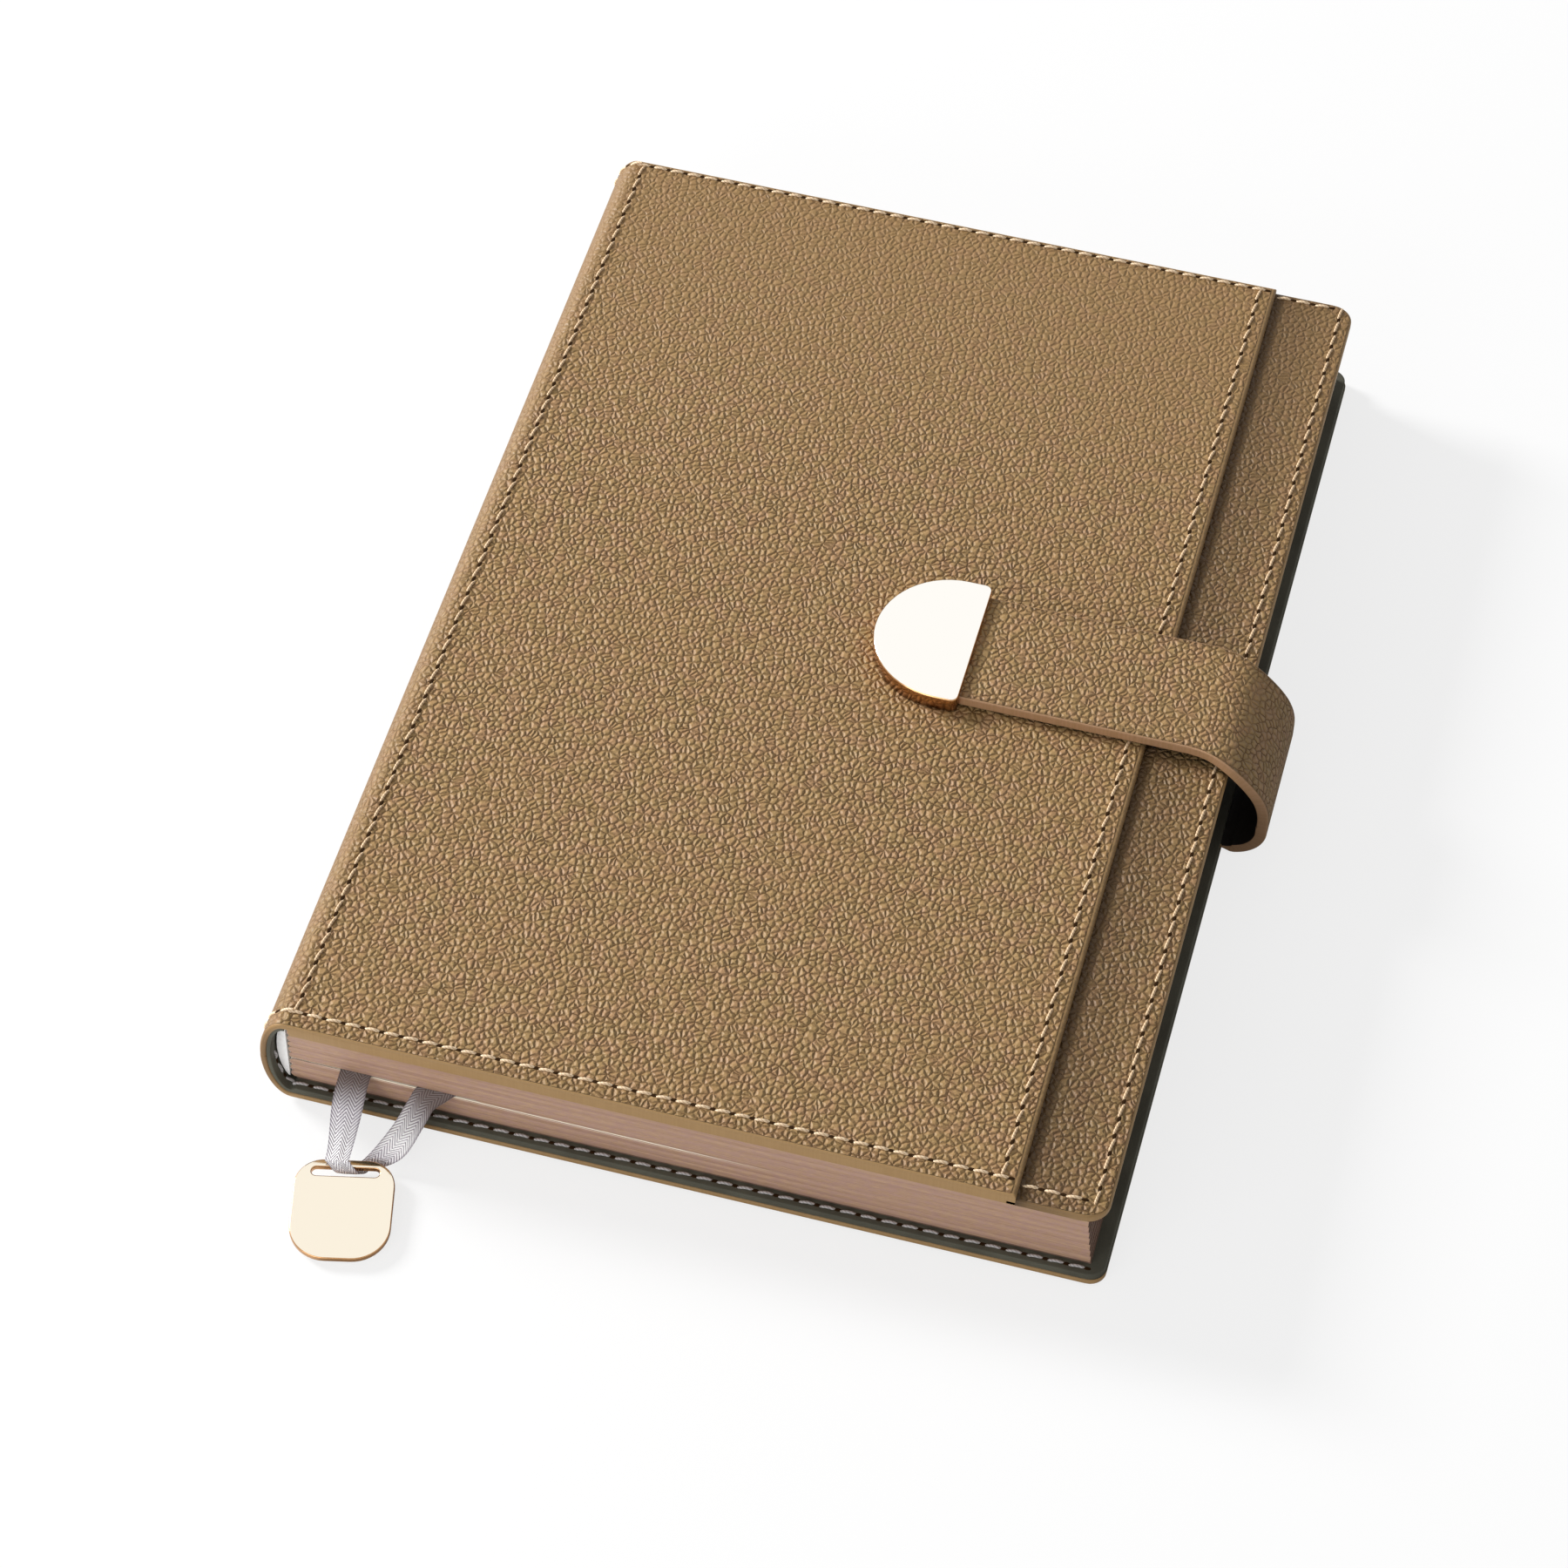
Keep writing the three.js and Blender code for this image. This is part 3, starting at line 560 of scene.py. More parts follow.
@dataclass(frozen=True)
class HerringboneRibbon:
    """Satin ribbon woven in a fine herringbone. Its UV map is in millimetres, across then along."""

    name: str = "silver_herringbone_ribbon"
    light: Colour = linear(252, 249, 253)
    dark: Colour = linear(106, 92, 110)
    # Colour of the painted shade near the pages.
    painted_root_shade: Colour = linear(104, 92, 88)
    width: float = 5.5
    slope: float = 1.3
    pitch: float = 0.72
    length: float = 49.5
    tuck: float = 4.0
    left_glint: float = 18.0
    right_glint: float = 36.0

    def material(self) -> Material:
        """Build the material."""
        s = Surface.named(self.name)
        uv = s.node("ShaderNodeTexCoord").out("UV")
        across, along, _ = s.split(uv)
        column = abs(across.wrapped(self.width / 2) - self.width / 4)
        twill = (along + column * self.slope).wrapped(self.pitch) / self.pitch
        thread = abs(twill - 0.5) * 2.0
        fuzz = s.noise(s.vector(across * 3.0, along * 3.0, 0.0), 1.0, 2.0)
        selvage = abs(across - self.width / 2).ramp(self.width / 2 - 0.45, self.width / 2 - 0.1)
        tone = thread.ramp(0.2, 0.65) * 0.8 + fuzz * 0.3
        colour = s.mix(tone, self.dark, self.light)
        glint = abs(along - self.left_glint).ramp(7.0, 1.0) + abs(along - self.right_glint).ramp(6.0, 1.0)
        colour = s.mix(glint * tone.ramp(0.1, 0.6) * 0.8, colour, (1.0, 1.0, 1.0))
        colour = s.mix(selvage * 0.5, colour, self.dark)
        # Painted shade on each leg where it leaves the pages.
        left_root_shade = along.ramp(self.tuck + 8.0, self.tuck + 1.0) * 0.8
        right_root_shade = along.ramp(self.length - self.tuck - 9.0, self.length - self.tuck - 1.0) * 0.75
        colour = s.mix(left_root_shade + right_root_shade, colour, self.painted_root_shade)
        return s.finish({
            "Base Color": colour,
            "Roughness": 0.42,
            "Sheen Weight": 0.1,
            "Normal": s.bump(thread, 0.12, 0.7),
        })


@dataclass(frozen=True)
class PolishedMetal:
    """Plated metal with a mirror polish."""

    name: str
    colour: Colour
    roughness: float = 0.07

    def material(self) -> Material:
        """Build the material."""
        s = Surface.named(self.name)
        return s.finish({"Base Color": self.colour, "Metallic": 1.0, "Roughness": self.roughness})


@dataclass(frozen=True)
class TwistedThread:
    """Waxed sewing thread."""

    name: str
    colour: Colour
    shade: Colour

    def material(self) -> Material:
        """Build the material."""
        s = Surface.named(self.name)
        x, y, z = s.split(s.object_place())
        twist = abs(((x + y + z) * 1.3).wrapped(1.0) - 0.5) * 2.0
        return s.finish({
            "Base Color": s.mix(twist.ramp(0.1, 0.6), self.shade, self.colour),
            "Roughness": 0.55,
            "Sheen Weight": 0.2,
        })


@dataclass(frozen=True)
class PlainFinish:
    """A dull, slightly mottled finish."""

    name: str
    colour: Colour
    roughness: float = 0.8
    shine: float = 0.5

    def material(self) -> Material:
        """Build the material."""
        s = Surface.named(self.name)
        fibres = s.noise(s.object_place(), 1.2, 3.0)
        shade = tuple(c * 0.82 for c in self.colour)
        return s.finish({"Base Color": s.mix(fibres.ramp(0.3, 0.7), shade, self.colour),
                         "Roughness": self.roughness, "Specular IOR Level": self.shine})


@dataclass(frozen=True)
class PaleFloor:
    """A matt floor that the camera sees a little lighter, so that the shadow on it stays faint."""

    name: str = "pale_floor"
    colour: Colour = (0.93, 0.93, 0.93)
    glow: float = 0.77

    def material(self) -> Material:
        """Build the material."""
        s = Surface.named(self.name)
        matt = s.node("ShaderNodeBsdfDiffuse", None, {"Color": self.colour})
        white = s.node("ShaderNodeEmission", None, {"Color": (1.0, 1.0, 1.0), "Strength": 1.0})
        share = s.node("ShaderNodeLightPath").value("Is Camera Ray") * self.glow
        mixed = s.node("ShaderNodeMixShader", None, {0: share, 1: matt.out(0), 2: white.out(0)})
        s.node("ShaderNodeOutputMaterial", None, {"Surface": mixed.out(0)})
        return s.material


class Finish(Protocol):
    """Anything that can make a material."""

    def material(self) -> Material:
        """Build the material."""


def made(finish: Finish) -> Material:
    """A field that holds a finish's material, built when the field's owner is."""
    return field(default_factory=finish.material)


@dataclass(frozen=True)
class Finishes:
    """Every material of the journal, made once."""

    jacket: Material = made(PebbledLeather("tan_jacket_leather"))
    # The strap's leather takes painted shade on its bend round the fore edge, which turns away from the
    # key lamp, and a stronger painted edge shade.
    strap: Material = made(PebbledLeather(
        "tan_strap_leather", smooth=linear(178, 139, 105), painted_edge_shade=0.3, painted_shade_from_x=84.0,
        painted_shade_to_x=68.0, painted_shade_share=0.34, tint=linear(74, 53, 29)))
    # The fore strip's leather takes painted shadow beside the pocket panel's raised edge, fading out
    # towards the fore edge.
    strip: Material = made(PebbledLeather(
        "fore_strip_leather", painted_shade_from_x=58.9, painted_shade_to_x=80.0, painted_shade_share=0.95,
        tint=linear(74, 53, 29)))
    lining: Material = made(SmoothLeather(
        "olive_lining_leather", linear(92, 91, 79), linear(71, 69, 59)))
    strap_lining: Material = made(SmoothLeather(
        "black_strap_lining", linear(34, 29, 25), linear(22, 18, 15)))
    page_edge: Material = made(TintedPageEdge())
    page: Material = made(PlainPaper("cream_page"))
    endpaper: Material = made(PlainPaper("cream_endpaper", rim_x=72.4, rim_y=106.4))
    liner: Material = made(PlainPaper("white_spine_paper", (1.0, 1.0, 0.99)))
    ribbon: Material = made(HerringboneRibbon())
    plain_ribbon: Material = made(PlainFinish(
        "silver_ribbon_inside", linear(178, 170, 180), 0.5))
    # One polished gold in three copies: faces that look up are painted as a highlight, near white on the
    # tip, and the side faces as painted shade and painted reflection of the leather.
    gold: Material = made(PolishedMetal("gold_with_painted_highlight", linear(251, 241, 222)))
    gold_with_painted_shade: Material = made(PolishedMetal("gold_with_painted_shade", linear(190, 146, 102), 0.2))
    tip: Material = made(PolishedMetal("gold_with_white_painted_highlight", linear(255, 252, 246)))
    steel: Material = made(PolishedMetal("plain_steel", linear(176, 177, 179), 0.35))
    board: Material = made(PlainFinish("grey_board", linear(140, 127, 106)))
    cream_thread: Material = made(TwistedThread(
        "cream_thread", linear(240, 214, 178), linear(206, 174, 137)))
    # A darker copy of the cream thread, painted shade, for the rows that run along Y.
    shaded_cream_thread: Material = made(TwistedThread(
        "cream_thread_painted_darker", linear(222, 192, 153), linear(180, 147, 109)))
    grey_thread: Material = made(TwistedThread(
        "grey_thread", linear(186, 182, 182), linear(146, 141, 140)))
    needle_hole: Material = made(PlainFinish(
        "needle_hole_shadow", linear(52, 34, 17), 0.95, 0.05))


# Meshes


@dataclass
class Skin:
    """The points and faces of one closed mesh while it is gathered, in millimetres."""

    points: list[Vector] = field(default_factory=list)
    paint: list[float] = field(default_factory=list)
    grain: list[tuple[float, float]] = field(default_factory=list)
    faces: list[tuple[int, ...]] = field(default_factory=list)
    slots: list[int] = field(default_factory=list)

    def add_ring(self, ring: Iterable[tuple[Vector, float]], along: float = 0.0) -> list[int]:
        """Add a closed ring of points.

        Args:
            ring: Each point with how smooth the leather is there, from 0 to 1.
            along: How far along the sheet the ring is, in millimetres.

        Returns:
            The points' numbers.
        """
        first = len(self.points)
        for point, painted in ring:
            self.points.append(point)
            self.paint.append(painted)
            self.grain.append((along, point.y))
        return list(range(first, len(self.points)))

    def bridge(self, below: Sequence[int], above: Sequence[int],
               slots: Sequence[int] | None = None) -> None:
        """Join two rings of the same length with quads.

        Args:
            below: The first ring.
            above: The second ring.
            slots: A material slot for each side of the ring, or none for slot 0.
        """
        count = len(below)
        for j in range(count):
            k = (j + 1) % count
            self.faces.append((below[j], below[k], above[k], above[j]))
            self.slots.append(slots[j] if slots else 0)

    def close(self, ring: Sequence[int], slot: int = 0) -> None:
        """Fill a ring with one face."""
        self.faces.append(tuple(ring))
        self.slots.append(slot)

    def build(self, name: str, materials: Sequence[Material], smooth_to: float = 32.0) -> Object:
        """Make the object, in metres, facing outwards.

        Args:
            name: The object's name.
            materials: Its materials, by slot.
            smooth_to: The sharpest turn, in degrees, that is shaded smooth.

        Returns:
            The object.
        """
        mesh = bpy.data.meshes.new(name)
        mesh.from_pydata([p * MM for p in self.points], [], self.faces)
        for material in materials:
            mesh.materials.append(material)
        mesh.polygons.foreach_set("material_index", self.slots)
        face_outwards(mesh)
        mark_rest(mesh)
        painted = mesh.attributes.new(PAINTED, "FLOAT", "POINT")
        painted.data.foreach_set("value", self.paint)
        grain = mesh.attributes.new(GRAIN_PLACE, "FLOAT_VECTOR", "POINT")
        grain.data.foreach_set("vector", [n for u, v in self.grain for n in (u, v, 0.0)])
        mesh.shade_smooth()
        mesh.set_sharp_from_angle(angle=math.radians(smooth_to))
        return place_in_scene(name, mesh)


def face_outwards(mesh: Mesh, weld_within: float = 0.0) -> None:
    """Turn every face of a closed mesh outwards.

    Args:
        mesh: The mesh.
        weld_within: How near to each other points are merged first, in metres, or 0 for none.
    """
    work = bmesh.new()
    work.from_mesh(mesh)
    if weld_within:
        bmesh.ops.remove_doubles(work, verts=work.verts, dist=weld_within)
    bmesh.ops.recalc_face_normals(work, faces=work.faces)
    work.to_mesh(mesh)
    work.free()


def mark_rest(mesh: Mesh) -> None:
    """Store each point's place on the closed journal, for patterns that must not slide."""
    places = [0.0] * (3 * len(mesh.vertices))
    mesh.vertices.foreach_get("co", places)
    stored = mesh.attributes.get(REST_PLACE) or mesh.attributes.new(REST_PLACE, "FLOAT_VECTOR", "POINT")
    stored.data.foreach_set("vector", places)


def linked(name: str, data: bpy.types.ID) -> Object:
    """A new object in the scene."""
    thing = bpy.data.objects.new(name, data)
    bpy.context.scene.collection.objects.link(thing)
    return thing


def place_in_scene(name: str, mesh: Mesh) -> Object:
    """A new piece in the scene, named in the log."""
    log.info("%s: %d faces", name, len(mesh.polygons))
    return linked(name, mesh)


def take_mesh(source: Object, name: str) -> Mesh:
    """Turn an object into a plain mesh, as its modifiers leave it.

    Args:
        source: The object, which is removed.
        name: The mesh's name.

    Returns:
        The mesh.
    """
    graph = bpy.context.evaluated_depsgraph_get()
    graph.update()
    mesh = bpy.data.meshes.new_from_object(source.evaluated_get(graph), depsgraph=graph)
    bpy.data.objects.remove(source)
    mesh.name = name
    return mesh


@dataclass(frozen=True)
class Bend:
    """The stretch, from one X and Z to another, over which a piece goes from body to body."""

    first: Body
    second: Body
    start: tuple[float, float]
    stop: tuple[float, float]


def settle(piece: Object, hold: Body | Bend, slot: str, *nodes: str) -> None:
    """Parent a finished piece to its body, or for a bend only bake its place in, and hide its CAD nodes.

    Args:
        piece: The piece.
        hold: The body it rides on, or the bend between its two bodies.
        slot: Not used.
        nodes: The CAD nodes that it stands for.
    """
    if isinstance(hold, Bend):
        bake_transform(piece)
    else:
        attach(piece, hold.value)
    if nodes:
        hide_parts(*nodes)


def on_circle(x: float, y: float, radius: float, degrees: float) -> Vector:
    """A point of a flat circle round X and Y."""
    angle = math.radians(degrees)
    return Vector((x + radius * math.cos(angle), y + radius * math.sin(angle), 0))


def eased(share: float) -> float:
    """A share from 0 to 1 that starts and ends slowly."""
    return share * share * (3 - 2 * share)


def rounding(distance: float, radius: float) -> float:
    """How far a round of this radius has fallen away at a distance in from its end."""
    if distance >= radius:
        return 0.0
    return radius - math.sqrt(radius * radius - (radius - distance) ** 2)


@dataclass(frozen=True)
class Station:
    """A cross-section of a sheet: a point of its outer face, where that looks, and its shape.

    The inset draws in both ends, the sink and the lift take the outer and the inner face back, the
    paint says how smooth the leather is, and the shift moves the section along Y.
    """

    x: float
    z: float
    out_x: float
    out_z: float
    thickness: float
    inset: float = 0.0
    sink: float = 0.0
    lift: float = 0.0
    paint: float = 0.0
    shift: float = 0.0


@dataclass(frozen=True)
class Sheet:
    """A sheet of leather or paper that follows a path in X and Z and is as wide as given along Y.

    The margin is the narrow strip inside each rounded long edge, and the cuts are the lengthwise
    ones between the two. The rim steps are how far the edge's slot reaches in past the rounding,
    the lining wrap how far the inner slot reaches out over it, and the edge ends how many of the
    last stretches have the edge's slot all round.
    """

    low: float
    high: float
    outer_radius: float
    inner_radius: float
    round_steps: int = 5
    margin: float = 2.2
    cuts: int = 5
    rim_steps: int = 0
    # Paint value of the margin strip, whose grain takes painted shade where the edge rolls away.
    painted_edge_shade: float = 0.4
    lining_wrap: int = 0
    edge_ends: int = 0

    def _side(self, at: Station, radius: float, mirrored: bool,
              outer: bool) -> list[tuple[float, float, float]]:
        """One face of a section, from its low end to its high end or back.

        Args:
            at: The station.
            radius: The radius of the face's two long edges.
            mirrored: Whether the face runs from high to low.
            outer: Whether it is the outer face.

        Returns:
            Points as place along Y, fall from the face, and paint.
        """
        low, high = self.low + at.inset + at.shift, self.high - at.inset + at.shift
        fall = at.sink if outer else at.lift
        # The rounding is sealed, and the margin inside it takes the painted edge shade.
        half = []
        for k in range(self.round_steps + 1):
            angle = math.radians(90 * k / self.round_steps)
            paint = 1.0 if k < self.round_steps else max(self.painted_edge_shade, at.paint)
            half.append((radius * (1 - math.cos(angle)), max(radius * (1 - math.sin(angle)), fall), paint))
        half.append((radius + self.margin * 0.4, fall, max(self.painted_edge_shade, at.paint)))
        half.append((radius + self.margin, fall, at.paint))
        points = [(low + e, f, p) for e, f, p in half]
        for i in range(self.cuts):
            points.append((low + (high - low) * (i + 1) / (self.cuts + 1), fall, at.paint))
        points += [(high - e, f, p) for e, f, p in reversed(half)]
        return points[::-1] if mirrored else points

    def ring(self, at: Station) -> list[tuple[Vector, float]]:
        """All points round one section.

        Args:
            at: The station.

        Returns:
            Points with their paint.
        """
        ring = []
        for y, fall, paint in self._side(at, self.outer_radius, False, True):
            ring.append((Vector((at.x - at.out_x * fall, y, at.z - at.out_z * fall)), paint))
        for y, fall, paint in self._side(at, self.inner_radius, True, False):
            depth = at.thickness - fall
            ring.append((Vector((at.x - at.out_x * depth, y, at.z - at.out_z * depth)), paint))
        return ring

    def sides(self) -> list[Face]:
        """Which side of the sheet each step round a section is on."""
        count = 2 * (self.round_steps + 3) + self.cuts
        rim = self.round_steps + self.rim_steps
        flat = range(rim, count - 1 - rim)
        outer = [Face.OUTER if j in flat else Face.EDGE for j in range(count)]
        wrapped = range(rim - self.lining_wrap, count - 1 - rim + self.lining_wrap)
        inner = [Face.INNER if j in wrapped else Face.EDGE for j in range(count)]
        return outer + inner

    def build(self, name: str, stations: Sequence[Station], materials: Sequence[Material],
              slots: dict[Face, int]) -> Object:
        """Make the sheet.

        Args:
            name: The object's name.
            stations: Its sections, in order.
            materials: Its materials, by slot.
            slots: The slot for each side of the sheet.

        Returns:
            The object.
        """
        skin = Skin()
        steps = [slots[side] for side in self.sides()]
        along = [0.0]
        for before, after in zip(stations, stations[1:]):
            along.append(along[-1] + math.hypot(after.x - before.x, after.z - before.z))
        start = stations[0].x - along[0]
        rings = [skin.add_ring(self.ring(at), start + s) for at, s in zip(stations, along)]
        first_edge = len(rings) - 1 - self.edge_ends
        for number, (below, above) in enumerate(zip(rings, rings[1:])):
            skin.bridge(below, above, steps if number < first_edge else [slots[Face.EDGE]] * len(steps))
        skin.close(rings[0], slots[Face.EDGE])
        skin.close(rings[-1][::-1], slots[Face.EDGE])
        return skin.build(name, materials)


LEATHER_SLOTS = {Face.OUTER: 0, Face.EDGE: 0, Face.INNER: 1}
PLAIN_SLOTS = {Face.OUTER: 0, Face.EDGE: 0, Face.INNER: 0}
PAGE_SLOTS = {Face.OUTER: 0, Face.EDGE: 1, Face.INNER: 0}
END_STEPS = (0.0, 0.05, 0.14, 0.28, 0.48, 0.75, 1.1, 1.6, 2.3, 3.2, 4.5, 5.4)


def end_stations(end_x: float, z: float, out_z: float, thickness: float, outer_radius: float,
                 inner_radius: float, corner: float, sealed: float = 0.45,
                 tone: float = 1.0) -> list[Station]:
    """The sections near a sheet's fore edge, from 5.4 mm inside it to the edge itself.

    Args:
        end_x: Where the edge is.
        z: The height of the outer face.
        out_z: Which way the outer face looks, 1 or -1.
        thickness: The sheet's thickness.
        outer_radius: The edge's radius on the outer face.
        inner_radius: The edge's radius on the inner face.
        corner: The radius of the sheet's corners in plan.
        sealed: How wide the smooth band along the edge is.
        tone: How smooth that band is.

    Returns:
        The stations.
    """
    def paint(distance: float) -> float:
        """How smooth the leather is at a distance in from the edge."""
        # Just inside the sealed band, 0.4 gives the grain its painted edge shade.
        return tone if distance < sealed else 0.4 if distance < sealed + 0.4 else 0.0

    stations = []
    for distance in reversed(END_STEPS):
        stations.append(Station(
            end_x - distance, z, 0.0, out_z, thickness,
            inset=rounding(distance, corner) if corner else 0.0,
            sink=rounding(distance, outer_radius), lift=rounding(distance, inner_radius),
            paint=paint(distance)))
    return stations


def flat_stations(places: Iterable[float], z: float, thickness: float, out_z: float = 1.0,
                  paint: float = 0.0) -> list[Station]:
    """The sections of a sheet's flat stretch.

    Args:
        places: Where they are along X.
        z: The height of the outer face.
        thickness: The sheet's thickness.
        out_z: Which way the outer face looks, 1 or -1.
        paint: How smooth the leather is.

    Returns:
        The stations.
    """
    return [Station(x, z, 0.0, out_z, thickness, paint=paint) for x in places]


def steps_between(first: float, last: float, count: int) -> list[float]:
    """Evenly spaced values, both ends among them."""
    return [first + (last - first) * i / (count - 1) for i in range(count)]


@dataclass(frozen=True)
class Span:
    """A CAD node's lowest and highest corners, in millimetres."""

    low: Vector
    high: Vector

    @classmethod
    def of(cls, node: str) -> Span:
        """Read a node's box."""
        low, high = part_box(node)
        return cls(low / MM, high / MM)


# Covers and spine


@dataclass(frozen=True)
class Jacket:
    """The leather of the two covers and the spine, and its linings."""

    finishes: Finishes
    fold_x: float = -70.0
    bulge: float = 5.0
    leather: float = 1.2
    spine_lining: float = 0.8
    corner: float = 4.2
    back_corner: float = 3.0
    arc_steps: int = 25
    lining_setback: float = 0.25
    bend: Bend = Bend(Body.BACK, Body.COVER, (-75.0, 15.0), (-70.2, 20.0))
    # The spine's flank is smoothed and takes the painted edge shade.
    spine_paint: float = 0.66
    shoulder_paint: float = 0.55
    shoulder_x: Numbers = (-69.8, -69.3)
    panel_x: Numbers = (-69.0, -68.0, -66.0)
    rear_x: Numbers = (-69.6, -69.0, -67.0)
    lining_x: Numbers = (-69.2, -68.8, -67.0)

    def _arc(self, rx: float, rz: float, middle_z: float, start: float, stop: float, facing: float,
             thickness: float, paint: float = 0.0) -> list[Station]:
        """Sections round part of the spine's half ellipse.

        Args:
            rx: The ellipse's reach along X.
            rz: Its reach along Z.
            middle_z: The height of its centre.
            start: The first angle, in degrees.
            stop: The last angle.
            facing: 1 where the outer face looks away from the pages, -1 where it looks at them.
            thickness: The sheet's thickness.
            paint: How smooth its leather is.

        Returns:
            The stations.
        """
        stations = []
        for angle in steps_between(math.radians(start), math.radians(stop), self.arc_steps):
            c, s = math.cos(angle), math.sin(angle)
            out = Vector((c / rx, s / rz)).normalized() * facing
            stations.append(Station(self.fold_x + rx * c, middle_z + rz * s, out.x, out.y, thickness,
                                    paint=paint))
        return stations

    def build(self) -> None:
        """Make every piece of the covers."""
        overlay = Span.of("front_overlay_leather")
        base = Span.of("front_base_leather")
        front_lining = Span.of("front_lining")
        back = Span.of("back_leather")
        top_z = overlay.high.z
        middle_z = top_z / 2
        slab = top_z - front_lining.low.z
        lining = self.finishes.lining

        front = self._arc(self.bulge, middle_z, middle_z, 180, 90, 1, self.leather, self.spine_paint)
        front += flat_stations(self.shoulder_x, top_z, self.leather, paint=self.shoulder_paint)
        front += flat_stations([*self.panel_x, *steps_between(-62.0, overlay.high.x - 6, 16)], top_z, slab)
        front += end_stations(overlay.high.x, top_z, 1, slab, 0.55, 0.3, 0, sealed=1.1, tone=0.84)
        panel = Sheet(overlay.low.y, overlay.high.y, 0.62, 0.5).build(
            "pocket_panel_and_upper_spine", front, [self.finishes.jacket, lining], LEATHER_SLOTS)
        settle(panel, self.bend, "leather", "front_overlay_leather", "front_base_leather", "front_lining")

        thickness = base.high.z - front_lining.low.z
        places = steps_between(overlay.high.x - 1.5, base.high.x - 5.6, 5)
        strip = flat_stations(places, base.high.z, thickness)
        strip += end_stations(base.high.x, base.high.z, 1, thickness, 0.6, 0.5, self.corner)
        fore_strip = Sheet(base.low.y, base.high.y, 0.6, 0.5).build(
            "front_fore_strip", strip, [self.finishes.strip, lining], LEATHER_SLOTS)
        settle(fore_strip, Body.COVER, "leather")

        rear = self._arc(self.bulge, middle_z, middle_z, 180, 270, 1, self.leather, self.spine_paint)
        places = [*self.rear_x, *steps_between(-60.0, back.high.x - 6, 12)]
        rear += flat_stations(places, 0, self.leather, -1)
        rear += end_stations(back.high.x, 0, -1, self.leather, 0.5, 0.35, self.back_corner)
        rear_piece = Sheet(back.low.y, back.high.y, 0.5, 0.35).build(
            "back_and_lower_spine", rear, [self.finishes.jacket, lining], LEATHER_SLOTS)
        settle(rear_piece, Body.BACK, "leather", "back_leather", "spine_leather")

        self._build_linings(middle_z, back)

    def _build_linings(self, middle_z: float, back: Span) -> None:
        """Make the lining of the back cover and the spine.

        Args:
            middle_z: The height of the middle of the spine.
            back: The back leather's box.
        """
        lining = Span.of("back_lining")
        thickness = lining.high.z - lining.low.z
        finish = [self.finishes.lining]
        reach_x = self.bulge - self.leather - self.spine_lining
        reach_z = middle_z - self.leather - self.spine_lining
        sheet = Sheet(back.low.y + self.lining_setback, back.high.y - self.lining_setback, 0.2, 0.1,
                      round_steps=3)
        rear = self._arc(reach_x, reach_z, middle_z, 180, 270, -1, self.spine_lining)
        rear += flat_stations([*self.lining_x, *steps_between(-60.0, back.high.x - 6, 10)],
                              lining.high.z, thickness)
        rear += end_stations(back.high.x - self.lining_setback, lining.high.z, 1, thickness, 0.2, 0.1,
                             self.back_corner)
        rear_piece = sheet.build("back_lining_and_lower_spine_lining", rear, finish, PLAIN_SLOTS)
        settle(rear_piece, Body.BACK, "lining_leather", "back_lining", "spine_lining")

        upper = self._arc(reach_x, reach_z, middle_z, 180, 90, -1, self.spine_lining)
        upper_piece = sheet.build("upper_spine_lining", upper, finish, PLAIN_SLOTS)
        settle(upper_piece, self.bend, "lining_leather")


# Page block


@dataclass(frozen=True)
class Signature:
    """A sewn gathering of leaves, the body it turns with, and how far it swells up or down."""

    node: str
    body: Body
    swell_up: float = 0.0
    swell_down: float = 0.0


